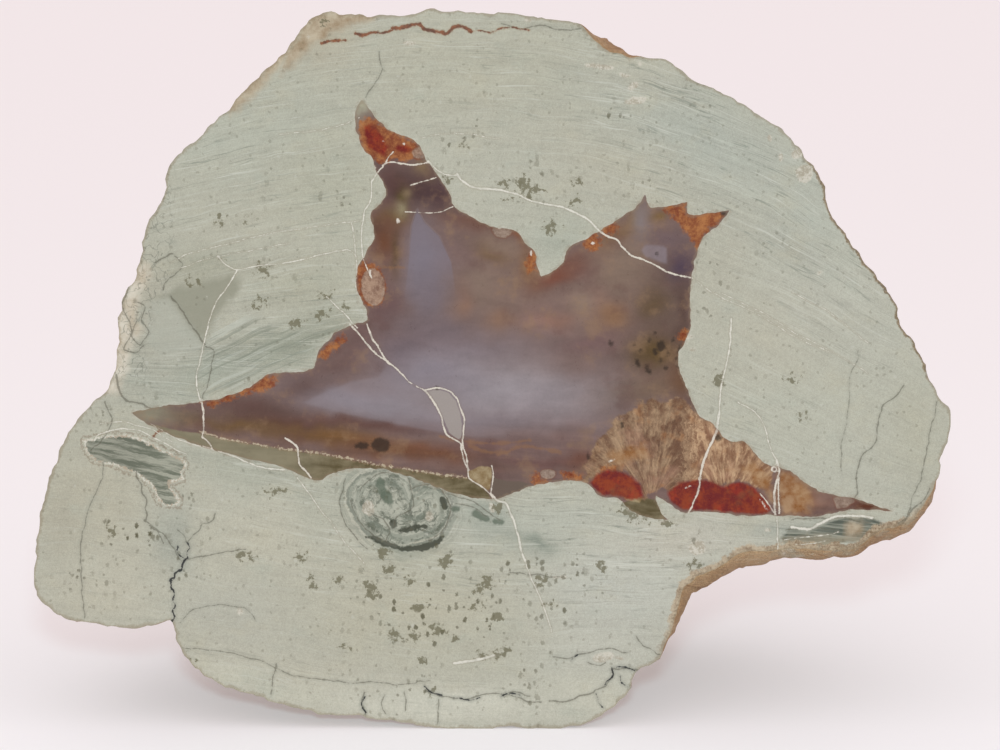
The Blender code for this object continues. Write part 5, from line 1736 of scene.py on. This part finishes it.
def fine_in_rock(points):
    """Where the rock's patches have their borders."""
    field = zone_field(points, FINE_ROCK, 1.0)
    return (field > FINE_AROUND[0]) & (field < FINE_AROUND[1])


def fine_nowhere(points):
    return np.zeros(len(points), dtype=bool)


def build_rock():
    lines = {
        "white_line": strokes_on_face(WHITE_VEINS),
        "dark_line": strokes_on_face(DARK_CRACKS, CRACK_WOBBLE),
        "rust_line": strokes_on_face(RUST_LINES),
        "open_line": strokes_on_face(OPEN_CRACKS, CRACK_WOBBLE),
    }
    front, triangles, (outer, inner) = flat_front(
        sawn_edge, (border,), lines, HOST_GRID, fine_in_rock
    )
    rings = stone_rings(sawn_edge, edge_out)
    rings[..., 2] = np.maximum(rings[..., 2], 0.0)
    pocket = pocket_rings(border, border_out, POCKET_DEPTH + SEAM, SEAM)
    sides = [(outer, rings[1:], rings[-1].mean(axis=0)), (inner, pocket, None)]
    fields = kept_fields(front, ROCK_ZONES, lines, FIELD_REACH)
    fields["rim"] = signed_distance(front, sawn_edge)
    fields["band"] = flow_bands(front)
    fields["crowd"] = LEAST_CROWD + soft_field(front, CROWDED_PATCHES)
    laminated = LEAST_LAMINATED + soft_field(front, BANDED_PATCHES)
    fields["laminated"] = np.clip(laminated, 0.0, MOST_LAMINATED)
    tints = clouded(front, ROCK_TONE, ROCK_CLOUDS)
    finishes = (rock_face(), weathered_skin("weathered_rhyolite"))
    return closed_surface("rock", front, triangles, sides, fields, tints, finishes)


def build_agate():
    lines = {
        "white_line": strokes_on_face(WHITE_VEINS),
        "gold_line": strokes_on_face(GOLD_LINES),
        "bead_line": strokes_on_face(BEAD_LINE),
    }
    front, triangles, (outer,) = flat_front(border, (), lines, AGATE_GRID, fine_nowhere)
    sides = [(outer, pocket_rings(border, border_out, POCKET_DEPTH, 0.0), None)]
    fields = kept_fields(front, AGATE_ZONES, lines, AGATE_REACH)
    tints = clouded(front, AGATE_TONE, AGATE_CLOUDS)
    finishes = (agate_face(), weathered_skin("agate_rind"))
    return closed_surface("star_fill", front, triangles, sides, fields, tints, finishes)


rock = build_rock()
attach(rock, "root")
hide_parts("host_rock")
star_fill = build_agate()
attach(star_fill, "root")
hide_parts("agate_core")

floor_mesh = bpy.data.meshes.new("floor")
FLOOR_REACH = 4.0
floor_mesh.from_pydata(
    [(-FLOOR_REACH, -FLOOR_REACH, 0.0), (FLOOR_REACH, -FLOOR_REACH, 0.0),
     (FLOOR_REACH, FLOOR_REACH, 0.0), (-FLOOR_REACH, FLOOR_REACH, 0.0)], [], [(0, 1, 2, 3)]
)
floor_mesh.materials.append(plain_paper())
floor = bpy.data.objects.new("floor", floor_mesh)
bpy.context.scene.collection.objects.link(floor)

world = bpy.data.worlds.new("soft_surround")
world.use_nodes = True
surround = world.node_tree.nodes
ray = surround.new("ShaderNodeTexCoord")
ray_parts = surround.new("ShaderNodeSeparateXYZ")
rise = surround.new("ShaderNodeMix")
rise.data_type = "RGBA"
rise.inputs[6].default_value = (*HORIZON_COLOUR, 1.0)
rise.inputs[7].default_value = (*ZENITH_COLOUR, 1.0)
world.node_tree.links.new(ray.outputs["Generated"], ray_parts.inputs["Vector"])
world.node_tree.links.new(ray_parts.outputs["Z"], rise.inputs[0])
world.node_tree.links.new(rise.outputs[2], surround["Background"].inputs["Color"])
bpy.context.scene.world = world


def facing(place, target):
    """The turn of a lamp or camera that looks from a place to a target."""
    return (Vector(target) - Vector(place)).to_track_quat("-Z", "Y").to_euler()


key = bpy.data.lights.new("key", "AREA")
key.shape = "DISK"
key.size = KEY_SIZE
key.energy = KEY_POWER
key.color = KEY_COLOUR
key_lamp = bpy.data.objects.new("key", key)
key_lamp.location = KEY_PLACE
key_lamp.rotation_euler = facing(KEY_PLACE, KEY_TARGET)
key_lamp.visible_glossy = False
bpy.context.scene.collection.objects.link(key_lamp)

camera_data = bpy.data.cameras.new("camera")
camera_data.lens = CAMERA_LENS
camera_data.sensor_width = SENSOR
camera = bpy.data.objects.new("camera", camera_data)
view_middle = np.array((*on_face(VIEW_MIDDLE), 0.0))
camera.location = standing(view_middle - (0.0, 0.0, CAMERA_DISTANCE))
camera.rotation_euler = facing(camera.location, standing(view_middle))
bpy.context.scene.collection.objects.link(camera)
bpy.context.scene.camera = camera

view = bpy.context.scene.view_settings
view.view_transform = "Standard"
view.look = "None"
view.exposure = 0.0
view.gamma = 1.0
